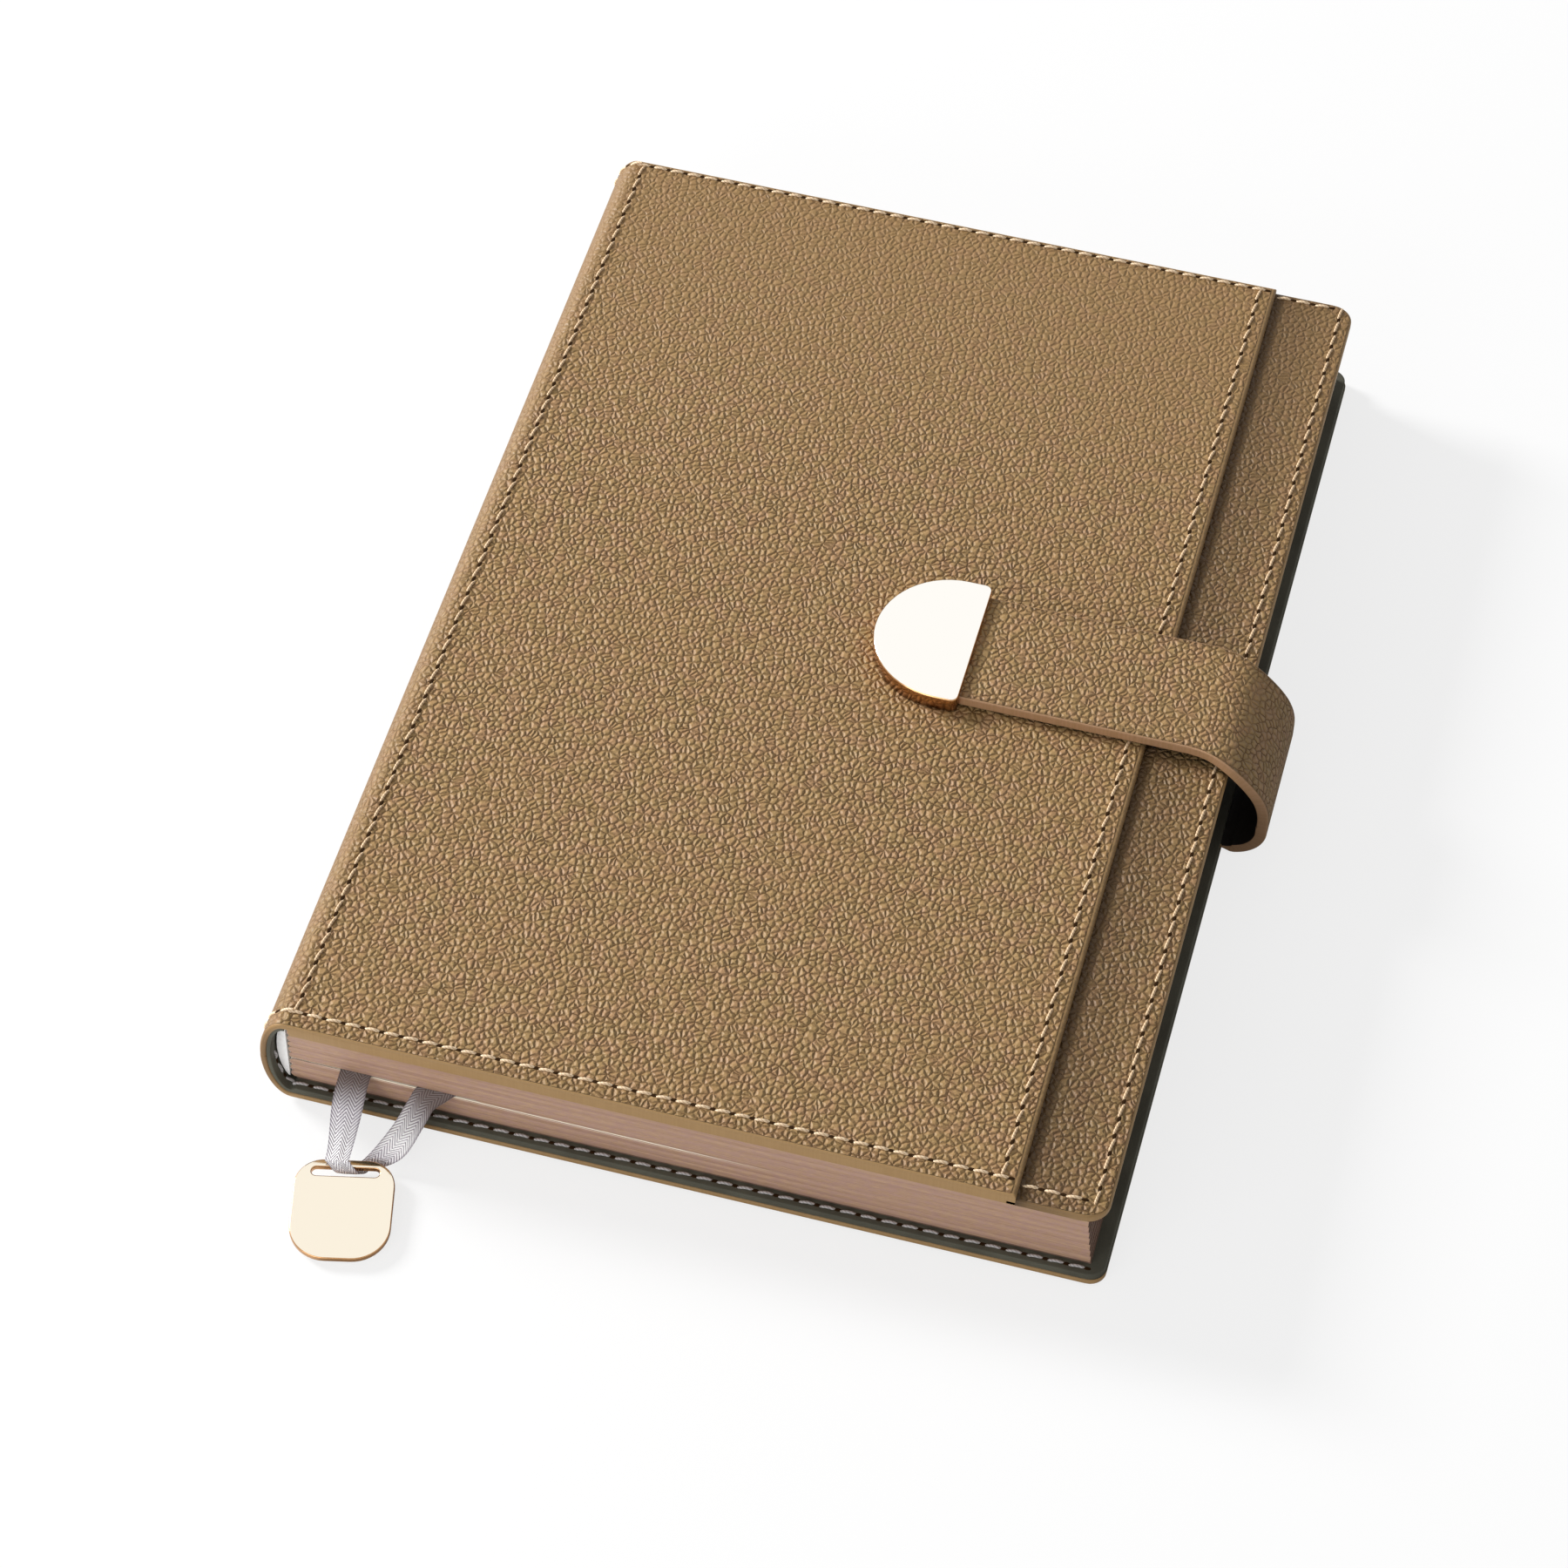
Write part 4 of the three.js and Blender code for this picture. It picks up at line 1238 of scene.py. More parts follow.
@dataclass(frozen=True)
class PageBlock:
    """The nine signatures, the papers glued to the covers, and the paper down the spine."""

    finishes: Finishes
    bend_from_x: float = -69.5
    bend_to_x: float = -40.0
    edge_radius: float = 0.01
    fold_steps: Numbers = (0.015, 0.06, 0.14, 0.26, 0.42, 0.62)
    fore_lean: float = 1.5
    swell_from_x: float = -37.0
    signatures: tuple[Signature, ...] = (
        Signature("rear_signature_1", Body.BACK),
        Signature("rear_signature_2", Body.BACK),
        Signature("rear_signature_3", Body.BACK),
        Signature("front_signature_1", Body.PAGES_LOW, 0.0, 0.37),
        Signature("front_signature_2", Body.PAGES_LOW, 0.23),
        Signature("front_signature_3", Body.PAGES_MIDDLE),
        Signature("front_signature_4", Body.PAGES_MIDDLE, 0.23),
        Signature("front_signature_5", Body.PAGES_TOP),
        Signature("front_signature_6", Body.PAGES_TOP),
    )

    def _signature(self, signature: Signature) -> None:
        """Make one signature, its leaves rounded at the spine end.

        Args:
            signature: Which one.
        """
        span = Span.of(signature.node)
        top = span.high.z + signature.swell_up
        thickness = top - span.low.z
        fold = thickness / 2
        block = Span.of("rear_signature_1").low.z, Span.of("front_signature_6").high.z
        fore_x = span.high.x - self.fore_lean * (span.high.z - block[0]) / (block[1] - block[0])
        stations = []
        for distance in (*self.fold_steps, fold):
            fall = rounding(distance, fold)
            stations.append(Station(span.low.x + distance, top, 0, 1, thickness, sink=fall, lift=fall))
        stations += flat_stations(steps_between(span.low.x + 2, self.swell_from_x, 18), top, thickness)
        thickness += signature.swell_down
        fore_places = [self.swell_from_x + 1.5, *steps_between(-30.0, fore_x - 0.3, 5)]
        stations += flat_stations([*fore_places, fore_x - self.edge_radius], top, thickness)
        stations.append(Station(fore_x, top, 0, 1, thickness,
                                sink=self.edge_radius, lift=self.edge_radius))
        sheet = Sheet(span.low.y, span.high.y, self.edge_radius, self.edge_radius, round_steps=2,
                      margin=0.3, cuts=3, rim_steps=1, edge_ends=2)
        piece = sheet.build(f"leaves_of_{signature.node}", stations,
                            [self.finishes.page, self.finishes.page_edge], PAGE_SLOTS)
        hold: Body | Bend = Body.BACK
        if signature.body is not Body.BACK:
            middle = (span.low.z + span.high.z) / 2
            hold = Bend(Body.BACK, signature.body, (self.bend_from_x, middle), (self.bend_to_x, middle))
        settle(piece, hold, "page_edge", signature.node)

    def build(self) -> None:
        """Make every signature and dress the papers."""
        for signature in self.signatures:
            self._signature(signature)
        dress("spine_liner", self.finishes.liner)
        dress("back_endpaper", self.finishes.endpaper)
        dress("front_endpaper", self.finishes.endpaper)


def dress(node: str, material: Material) -> None:
    """Give a CAD part a material.

    Args:
        node: The part's name.
        material: Its finish.
    """
    part = bpy.data.objects[node]
    part.data.materials.clear()
    part.data.materials.append(material)
    log.info("%s: dressed in %s", node, material.name)


# Strap and tip


@dataclass(frozen=True)
class Strap:
    """The leather strap, its lining and painted edges, and the metal tip.

    The tab's course is its sections inside the back cover: X, Z, where the outer face looks, and
    the thickness, which is thin there and grows to the loop's.
    """

    finishes: Finishes
    reach_x: float = 83.0
    top_radius: float = 13.4
    bottom_radius: float = 7.3
    ground: float = 0.3
    split_z: float = 9.0
    skew: float = 3.0
    skew_from_x: float = 66.3
    outer_radius: float = 0.35
    inner_radius: float = 0.5
    lower_radius: float = 0.3
    tab_course: tuple[Numbers, ...] = (
        (70.0, 1.22, 0, -1, 0.66),
        (74.0, 1.22, 0, -1, 0.66),
        (75.2, 1.12, -0.16, -0.987, 0.8),
        (76.0, 0.82, -0.25, -0.968, 1.3),
        (76.8, 0.5, -0.1, -0.995, 1.9),
    )
    lower_bend: Bend = Bend(Body.BACK, Body.STRAP_LOOP, (74.5, 1.0), (80.5, 4.0))
    upper_bend: Bend = Bend(Body.STRAP_LOOP, Body.STRAP_ARM, (70.0, 23.0), (60.0, 23.0))
    tip_insert: float = 1.2
    tip_corner: float = 1.4
    tip_wall: float = 0.9
    tip_shoulder: float = 0.7
    tip_crown: float = 0.22
    tip_lip: float = 0.12
    tip_mouth_round: float = 0.1
    tip_steps: int = 8
    tip_painted_shade_rings: int = 9

    def _askew(self, x: float, z: float, thickness: float) -> float:
        """How far the strap has slipped towards the tail at a point of its way round the fore edge.

        Args:
            x: The point's X.
            z: Its height.
            thickness: The strap's thickness.

        Returns:
            The shift along Y, below zero.
        """
        side_x = self.reach_x - thickness
        share = min(1.0, max(0.0, (x - self.skew_from_x) / (side_x - self.skew_from_x)))
        if z < self.split_z + 1:
            share = 1.0
        return -self.skew * eased(share)

    def _round(self, radius: float, centre_z: float, angles: Iterable[float],
               thickness: float) -> list[Station]:
        """One of the two bends of the loop.

        Args:
            radius: The radius of its outer face.
            centre_z: The height of its centre.
            angles: The angles of its sections, in degrees up from level.
            thickness: The strap's thickness.

        Returns:
            The stations.
        """
        stations = []
        for angle in angles:
            out = on_circle(0.0, 0.0, 1.0, angle)
            x, z = self.reach_x - radius + radius * out.x, centre_z + radius * out.y
            stations.append(Station(x, z, out.x, out.y, thickness, shift=self._askew(x, z, thickness)))
        return stations

    def _stations_below(self, thickness: float) -> list[Station]:
        """The strap from inside the back cover to the middle of its loop."""
        stations = [Station(*section, shift=-self.skew) for section in self.tab_course]
        stations += self._round(self.bottom_radius, self.ground + self.bottom_radius,
                                steps_between(-75.0, 0.0, 15), thickness)
        stations.append(Station(self.reach_x, self.split_z, 1, 0, thickness, shift=-self.skew))
        return stations

    def _stations_above(self, thickness: float, top_z: float, tip_x: float) -> list[Station]:
        """The strap from the middle of its loop to inside the tip.

        Args:
            thickness: The strap's thickness.
            top_z: The height of its outer face over the cover.
            tip_x: Where it ends inside the tip.

        Returns:
            The stations.
        """
        stations = [Station(self.reach_x, self.split_z, 1, 0, thickness, shift=-self.skew)]
        stations += self._round(self.top_radius, top_z - self.top_radius,
                                steps_between(0.0, 90.0, 22), thickness)
        for x in steps_between(self.reach_x - self.top_radius - 1, tip_x, 24):
            stations.append(Station(x, top_z, 0, 1, thickness, shift=self._askew(x, top_z, thickness)))
        return stations

    def _tip_outline(self, span: Span, inset: float, points: int = 28) -> list[Vector]:
        """The half-round outline of the tip, drawn in by an amount.

        Args:
            span: The tip's box.
            inset: How far the outline is drawn in.
            points: How many points the round end has.

        Returns:
            The outline, as flat vectors.
        """
        middle_y = (span.low.y + span.high.y) / 2
        full = (span.high.y - span.low.y) / 2
        half = full - inset
        centre_x = span.low.x + full
        flat_x = span.high.x - inset
        corner = max(self.tip_corner - inset, 0.25)
        round_end = steps_between(90.0, 270.0, points)
        outline = [on_circle(centre_x, middle_y, half, angle) for angle in round_end]
        for sign, start in ((-1, -90.0), (1, 0.0)):
            corner_y = middle_y + sign * (half - corner)
            for angle in steps_between(start, start + 90.0, 6):
                outline.append(on_circle(flat_x - corner, corner_y, corner, angle))
        return outline

    def _tip(self) -> Object:
        """Make the hollow cap with its softly domed top."""
        span = Span.of("tip_cap")
        skin = Skin()

        def ring(inset: float, z: float, scale: float = 1.0) -> list[int]:
            """Add one ring of the cap.

            Args:
                inset: How far it is drawn in.
                z: Its height.
                scale: Its size about the tip's middle.

            Returns:
                The ring's point numbers.
            """
            outline = self._tip_outline(span, inset)
            middle = sum(outline, Vector((0, 0, 0))) / len(outline)
            return skin.add_ring((middle + (p - middle) * scale + Vector((0, 0, z)), 0.0) for p in outline)

        top, bottom = span.high.z, span.low.z
        shoulder = self.tip_shoulder
        rings = [
            ring(self.tip_wall, top - self.tip_wall),
            ring(self.tip_wall, bottom + self.tip_mouth_round),
            ring(self.tip_wall - self.tip_mouth_round, bottom),
            ring(self.tip_lip, bottom),
            ring(0.0, bottom + self.tip_lip),
        ]
        for angle in steps_between(0.0, 90.0, self.tip_steps + 1):
            a = math.radians(angle)
            fall = self.tip_crown + shoulder * (1 - math.sin(a))
            rings.append(ring(shoulder * (1 - math.cos(a)), top - fall))
        for k in range(1, self.tip_steps + 1):
            share = k / self.tip_steps
            rings.append(ring(shoulder, top - self.tip_crown * (1 - share) ** 2, 1 - share * 0.98))
        # The walls and lower shoulder take the darker gold, painted shade; the top takes the near-white
        # gold, a painted highlight.
        for number, (below, above) in enumerate(zip(rings, rings[1:])):
            skin.bridge(below, above, [1 if number < self.tip_painted_shade_rings else 0] * len(below))
        skin.close(rings[0], 1)
        skin.close(rings[-1][::-1])
        return skin.build("half_round_tip", [self.finishes.tip, self.finishes.gold_with_painted_shade], 50.0)

    def build(self) -> None:
        """Make the strap, its tip and the hidden pieces."""
        arm = Span.of("strap_arm_leather")
        lining = Span.of("strap_arm_lining")
        tip = Span.of("tip_cap")
        thickness = arm.high.z - lining.low.z
        sheet = Sheet(arm.low.y, arm.high.y, self.outer_radius, self.inner_radius, margin=0.8, cuts=7,
                      lining_wrap=3)
        pair = [self.finishes.strap, self.finishes.strap_lining]

        # The lower edges are rounded less, so that the thin sections of the tab stay closed
        lower_sheet = replace(sheet, outer_radius=self.lower_radius, inner_radius=self.lower_radius)
        lower = lower_sheet.build("strap_lower_loop", self._stations_below(thickness), pair, LEATHER_SLOTS)
        settle(lower, self.lower_bend, "leather", "strap_loop_leather", "strap_loop_lining")

        course = self._stations_above(thickness, arm.high.z, tip.high.x - self.tip_insert)
        upper = sheet.build("strap_upper_loop_and_arm", course, pair, LEATHER_SLOTS)
        settle(upper, self.upper_bend, "leather", "strap_arm_leather", "strap_arm_lining")

        settle(self._tip(), Body.STRAP_ARM, "gold_metal", "tip_cap")
        dress("tip_plate", self.finishes.gold)
        dress("magnet", self.finishes.steel)
        dress("keeper_plate", self.finishes.steel)
        dress("strap_tab", self.finishes.strap)
        dress("back_board", self.finishes.board)


# Ribbon and charm


@dataclass(frozen=True)
class CharmPlace:
    """Where the charm lies, and how it is turned and tilted."""

    x: float = -53.8
    y: float = -129.5
    turn: float = math.radians(13)
    width: float = 17.4
    length: float = 19.5
    thickness: float = 1.2
    bar: float = 1.5
    bight: float = 1.3605
    ribbon_thickness: float = 0.3
    foot_z: float = 0.65

    @property
    def bar_v(self) -> float:
        """How far the middle of the bar is from the charm's own middle."""
        return (self.length - self.bar) / 2

    @property
    def bar_z(self) -> float:
        """The height of the middle of the bar."""
        return self.bight + self.ribbon_thickness / 2

    @property
    def tilt(self) -> float:
        """How far the charm leans, with its bar held up by the ribbon."""
        return math.asin((self.bar_z - self.foot_z) / (self.bar_v + self.length / 2))

    def on_plan(self, u: float, v: float) -> Vector:
        """A point of the charm, seen from above.

        Args:
            u: Across the charm.
            v: Along it, towards the bar.

        Returns:
            The point, at height 0.
        """
        c, s = math.cos(self.turn), math.sin(self.turn)
        return Vector((self.x + u * c - v * s, self.y + u * s + v * c, 0))

    def matrix(self) -> Matrix:
        """The charm's place, from its own drawing."""
        z = self.bar_z - self.bar_v * math.sin(self.tilt)
        place = Matrix.Translation(Vector((self.x, self.y, z)) * MM)
        return place @ Matrix.Rotation(self.turn, 4, "Z") @ Matrix.Rotation(self.tilt, 4, "X")


@dataclass(frozen=True)
class Charm:
    """The flat metal tag on the ribbon."""

    finishes: Finishes
    place: CharmPlace
    top_radius: float = 5.0
    bottom_radius: float = 6.5
    bevel: float = 0.22
    slot_length: float = 11.8
    slot_width: float = 1.75
    flat_from: float = 0.92

    def _outline(self) -> list[Vector]:
        """The tag's outline about its own middle."""
        w, h = self.place.width / 2, self.place.length / 2
        corners = ((w, h, self.top_radius, 0), (-w, h, self.top_radius, 90),
                   (-w, -h, self.bottom_radius, 180), (w, -h, self.bottom_radius, 270))
        points = []
        for x, y, radius, start in corners:
            centre_x, centre_y = x - math.copysign(radius, x), y - math.copysign(radius, y)
            for angle in steps_between(start, start + 90, 12):
                points.append(on_circle(centre_x, centre_y, radius, angle))
        return points

    def _slot(self) -> list[Vector]:
        """The slot's outline, just inside the bar."""
        r = self.slot_width / 2
        y = self.place.length / 2 - self.place.bar - r
        points = []
        for x, start in ((self.slot_length / 2 - r, -90), (r - self.slot_length / 2, 90)):
            for angle in steps_between(start, start + 180, 12):
                points.append(on_circle(x, y, r, angle))
        return points

    def build(self) -> Object:
        """Make the charm.

        Returns:
            The object.
        """
        drawing = bpy.data.curves.new("charm_drawing", "CURVE")
        drawing.dimensions = "2D"
        drawing.fill_mode = "BOTH"
        drawing.extrude = (self.place.thickness / 2 - self.bevel) * MM
        drawing.bevel_depth = self.bevel * MM
        drawing.bevel_resolution = 4
        drawing.offset = -self.bevel * MM
        for outline in (self._outline(), self._slot()):
            spline = drawing.splines.new("POLY")
            spline.points.add(len(outline) - 1)
            spline.points.foreach_set("co", [n for p in outline for n in (p.x * MM, p.y * MM, 0.0, 1.0)])
            spline.use_cyclic_u = True
        mesh = take_mesh(linked("charm_drawing", drawing), "slotted_charm")
        face_outwards(mesh, weld_within=1e-6)
        mesh.materials.clear()
        mesh.materials.append(self.finishes.gold)
        mesh.materials.append(self.finishes.gold_with_painted_shade)
        # Faces that look up get the pale gold, a painted highlight; the sides and bevels get the darker
        # gold, painted shade.
        for face in mesh.polygons:
            face.material_index = 0 if abs(face.normal.z) > self.flat_from else 1
        mesh.transform(self.place.matrix())
        mesh.shade_smooth()
        mesh.set_sharp_from_angle(angle=math.radians(40))
        piece = place_in_scene("slotted_charm", mesh)
        settle(piece, Body.CHARM, "gold_metal", "charm")
        return piece


@dataclass(frozen=True)
class RibbonStop:
    """A point of the ribbon's middle line, with the way its width runs there."""

    place: Vector
    side: Vector


@dataclass(frozen=True)
class RibbonMarker:
    """The ribbon, which leaves the pages twice and holds the charm on its bight.

    The section goes round it in half widths across and half thicknesses up.
    """

    finishes: Finishes
    place: CharmPlace
    width: float = 5.5
    pinch: float = 0.72
    thickness: float = 0.3
    left_exit: tuple[float, float] = (-58.5, -106.4)
    right_exit: tuple[float, float] = (-43.9, -106.4)
    parting_z: float = 8.45
    tuck: float = 4.0
    ledge: float = 2.4
    left_on_bar: float = -1.6
    right_on_bar: float = 1.8
    right_bow: float = 2.0
    turn_from: float = 0.35
    pinch_reach: float = 11.0
    section: tuple[tuple[float, float], ...] = (
        (-1.0, -0.4), (-0.5, -1.0), (0.5, -1.0), (1.0, -0.4),
        (1.0, 0.4), (0.5, 1.0), (-0.5, 1.0), (-1.0, 0.4),
    )
    leg_steps: int = 9
    bight_steps: int = 12
    samples_per_step: int = 5

    def _leg(self, leaves: tuple[float, float], foot: Vector, foot_z: float,
             bow: float) -> list[RibbonStop]:
        """One leg, from between the pages down to the charm.

        Args:
            leaves: Where it leaves the pages.
            foot: Where it meets the bar, seen from above.
            foot_z: Its height there.
            bow: How far the leg sags sideways on its way.

        Returns:
            The leg's stops.
        """
        start = Vector((*leaves, 0))
        direction = (start - foot).normalized()
        across = Vector((direction.y, -direction.x, 0))
        bar = Vector((math.cos(self.place.turn), math.sin(self.place.turn), 0))
        brow = start - direction * self.ledge
        stops = [RibbonStop(p + Vector((0, 0, self.parting_z)), across)
                 for p in (start + direction * self.tuck, start, brow)]
        for i in range(1, self.leg_steps):
            t = i / self.leg_steps
            height = self.parting_z + (foot_z - self.parting_z) * (1 - math.cos(math.pi * t)) / 2
            turned = eased(max(0.0, (t - self.turn_from) / (1 - self.turn_from)))
            point = brow.lerp(foot, t) + across * bow * math.sin(math.pi * t)
            point.z = height
            stops.append(RibbonStop(point, across.lerp(bar, turned).normalized()))
        return stops

    def _stops(self) -> list[RibbonStop]:
        """The whole free stretch, from the left exit round the bar to the right one."""
        at = self.place
        bar = Vector((math.cos(at.turn), math.sin(at.turn), 0))
        left_foot = at.on_plan(self.left_on_bar, at.bar_v)
        right_foot = at.on_plan(self.right_on_bar, at.bar_v)
        stops = self._leg(self.left_exit, left_foot, at.bar_z + at.bight, 0.0)
        for i in range(self.bight_steps + 1):
            share = i / self.bight_steps
            angle = math.pi * (0.5 + share)
            u = self.left_on_bar + (self.right_on_bar - self.left_on_bar) * share
            plan = at.on_plan(u, at.bar_v + at.bight * math.cos(angle))
            stops.append(RibbonStop(plan + Vector((0, 0, at.bar_z + at.bight * math.sin(angle))), bar))
        stops += reversed(self._leg(self.right_exit, right_foot, at.bar_z - at.bight, self.right_bow))
        return stops

    def build(self, charm: Object) -> None:
        """Make the ribbon, log its free length and dress the inner ribbon parts.

        Args:
            charm: Not used.
        """
        stops = smoothed(self._stops(), self.samples_per_step)
        skin = Skin()
        rings: list[list[int]] = []
        bar_place = self.place.on_plan(0, self.place.bar_v) + Vector((0, 0, self.place.bar_z))
        for i, stop in enumerate(stops):
            before, after = stops[max(i - 1, 0)], stops[min(i + 1, len(stops) - 1)]
            tangent = (after.place - before.place).normalized()
            up = tangent.cross(stop.side).normalized() * self.thickness / 2
            near = max(0.0, 1 - (stop.place - bar_place).length / self.pinch_reach)
            side = stop.side * self.width / 2 * (1 - (1 - self.pinch) * eased(near))
            rings.append(skin.add_ring((stop.place + side * u + up * v, 0.0) for u, v in self.section))
        for below, above in zip(rings, rings[1:]):
            skin.bridge(below, above)
        skin.close(rings[0])
        skin.close(rings[-1][::-1])
        piece = skin.build("ribbon_marker", [self.finishes.ribbon], 60.0)
        self._map_weave(piece.data, rings, stops)
        settle(piece, Body.BACK, "ribbon", "ribbon_loop")
        path = [stop.place * MM for stop in stops]
        length = sum((b - a).length for a, b in zip(path, path[1:]))
        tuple(path[0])
        log.info("ribbon_marker: %.1f mm free", length / MM)
        dress("ribbon_inner_left", self.finishes.plain_ribbon)
        dress("ribbon_inner_right", self.finishes.plain_ribbon)

    def _map_weave(self, mesh: Mesh, rings: Sequence[Sequence[int]],
                   stops: Sequence[RibbonStop]) -> None:
        """Lay the weave's map on the ribbon, across then along, in millimetres.

        Args:
            mesh: The ribbon's mesh.
            rings: Its rings of points.
            stops: The stops that the rings stand at.
        """
        along = [0.0]
        for a, b in zip(stops, stops[1:]):
            along.append(along[-1] + (b.place - a.place).length)
        place = {}
        for ring, v in zip(rings, along):
            for number, (across, _) in zip(ring, self.section):
                place[number] = ((across + 1) / 2 * self.width, v)
        layer = mesh.uv_layers.new(name="weave")
        for loop in mesh.loops:
            layer.data[loop.index].uv = place[loop.vertex_index]


def smoothed(stops: Sequence[RibbonStop], samples: int) -> list[RibbonStop]:
    """A smooth line through the stops.

    Args:
        stops: The stops.
        samples: How many points each stretch is cut into.

    Returns:
        More stops, on a Catmull-Rom curve.
    """
    result = []
    last = len(stops) - 1
    for i in range(last):
        p0, p1 = stops[max(i - 1, 0)].place, stops[i].place
        p2, p3 = stops[i + 1].place, stops[min(i + 2, last)].place
        for k in range(samples):
            t = k / samples
            point = 0.5 * (2 * p1 + (p2 - p0) * t + (2 * p0 - 5 * p1 + 4 * p2 - p3) * t * t
                           + (3 * p1 - p0 - 3 * p2 + p3) * t ** 3)
            side = stops[i].side.lerp(stops[i + 1].side, t).normalized()
            result.append(RibbonStop(point, side))
    result.append(stops[-1])
    return result


# Stitching


@dataclass(frozen=True)
class Row:
    """A row of stitches: its line, the way the surface looks along it, and its look."""

    name: str
    line: tuple[Vector, ...]
    facing: tuple[Vector, ...]
    pitch: float
    thread: Material
    hold: Body | Bend
    slant: float


@dataclass(frozen=True)
class StitchTree:
    """The geometry tree that sews thread and needle holes along a line."""

    hole: Material
    length_share: float = 0.78
    thread_radius: float = 0.27
    rise: float = 0.31
    dive: float = 0.26
    hole_radius: float = 0.42
    jitter: float = 3.0
    seed: int = 7

    def build(self, name: str, thread: Material) -> bpy.types.NodeTree:
        """Build the tree.

        Args:
            name: The tree's name.
            thread: The thread's material.

        Returns:
            The tree.
        """
        tree = bpy.data.node_groups.new(name, "GeometryNodeTree")
        tree.interface.new_socket("Line", in_out="INPUT", socket_type="NodeSocketGeometry")
        for label in ("Pitch", "Stitch Length", "Thread Radius", "Hole Radius", "Slant"):
            tree.interface.new_socket(label, in_out="INPUT", socket_type="NodeSocketFloat")
        tree.interface.new_socket("Seed", in_out="INPUT", socket_type="NodeSocketInt")
        tree.interface.new_socket("Stitches", in_out="OUTPUT", socket_type="NodeSocketGeometry")
        g = Graph(tree)
        given = g.node("NodeGroupInput")
        pitch, length, radius = (given.value(n) for n in ("Pitch", "Stitch Length", "Thread Radius"))

        line = g.node("GeometryNodeMeshToCurve", None, {"Mesh": given.out("Line")})
        spaced = g.node("GeometryNodeResampleCurve", {"mode": "LENGTH"},
                        {"Curve": line.out(0), "Length": pitch * 0.5})
        is_hole = g.node("GeometryNodeInputIndex").value(0).remainder(2.0)
        facing = g.node("GeometryNodeInputNamedAttribute", {"data_type": "FLOAT_VECTOR"},
                        {"Name": "facing"})
        tangent = g.node("GeometryNodeInputTangent")
        axes = g.node("FunctionNodeAxesToRotation", {"primary_axis": "X", "secondary_axis": "Z"},
                      {"Primary Axis": tangent.out(0), "Secondary Axis": facing.out(0)})
        swing = math.radians(self.jitter)
        wobble = g.node("FunctionNodeRandomValue", {"data_type": "FLOAT"},
                        {2: -swing, 3: swing, "Seed": given.out("Seed")})
        lean = given.value("Slant") + wobble.value(1)
        own_turn = g.node("FunctionNodeEulerToRotation", None, {0: g.vector(0.0, 0.0, lean)})
        turned = g.node("FunctionNodeRotateRotation", {"rotation_space": "LOCAL"},
                        {"Rotation": axes.out(0), "Rotate By": own_turn.out(0)})

        start = g.vector(length * -0.5, 0.0, -self.dive * MM)
        stop = g.vector(length * 0.5, 0.0, -self.dive * MM)
        crest = g.vector(0.0, 0.0, (self.rise + self.dive) * MM)
        arch = g.node("GeometryNodeCurveQuadraticBezier", None,
                      {"Resolution": 7, "Start": start, "Middle": crest, "End": stop})
        round_ = g.node("GeometryNodeCurvePrimitiveCircle", None, {"Resolution": 7, "Radius": radius})
        thread_mesh = g.node("GeometryNodeCurveToMesh", None,
                             {"Curve": arch.out(0), "Profile Curve": round_.out(0), "Fill Caps": True})
        threads = self._sewn(g, spaced, thread_mesh, turned, thread, 1.0 - is_hole)

        # Dark flattened balls between the stitches: painted shade of the needle holes.
        ball = g.node("GeometryNodeMeshUVSphere", None,
                      {"Segments": 8, "Rings": 5, "Radius": given.out("Hole Radius")})
        moved = g.node("GeometryNodeTransform", None, {
            "Geometry": ball.out(0), "Scale": (1.7, 0.85, 0.14)})
        holes = self._sewn(g, spaced, moved, turned, self.hole, is_hole)
        joined = g.node("GeometryNodeJoinGeometry")
        tree.links.new(holes, joined.node.inputs[0])
        tree.links.new(threads, joined.node.inputs[0])
        g.node("NodeGroupOutput", None, {0: joined.out(0)})
        return tree

    @staticmethod
    def _sewn(g: Graph, points: Node, shape: Node, rotation: Node,
              material: Material, where: Value) -> Socket:
        """Repeat one shape along the row as real faces of one material.

        Args:
            g: The tree.
            points: The row's points.
            shape: What is repeated.
            rotation: How each copy is turned.
            material: Its finish.
            where: 1 at the points that get a copy, 0 at the rest.

        Returns:
            The geometry.
        """
        copies = g.node("GeometryNodeInstanceOnPoints", None, {
            "Points": points.out(0), "Selection": where, "Instance": shape.out(0),
            "Rotation": rotation.out(0)})
        real = g.node("GeometryNodeRealizeInstances", None, {0: copies.out(0)})
        smooth = g.node("GeometryNodeSetShadeSmooth", None, {0: real.out(0)})
        inputs = {"Geometry": smooth.out(0), "Material": material}
        return g.node("GeometryNodeSetMaterial", None, inputs).out(0)


@dataclass(frozen=True)
class Ground:
    """A flat face that rows are sewn on: its height, which way it looks, 1 or -1, and its body."""

    z: float
    up: float
    body: Body


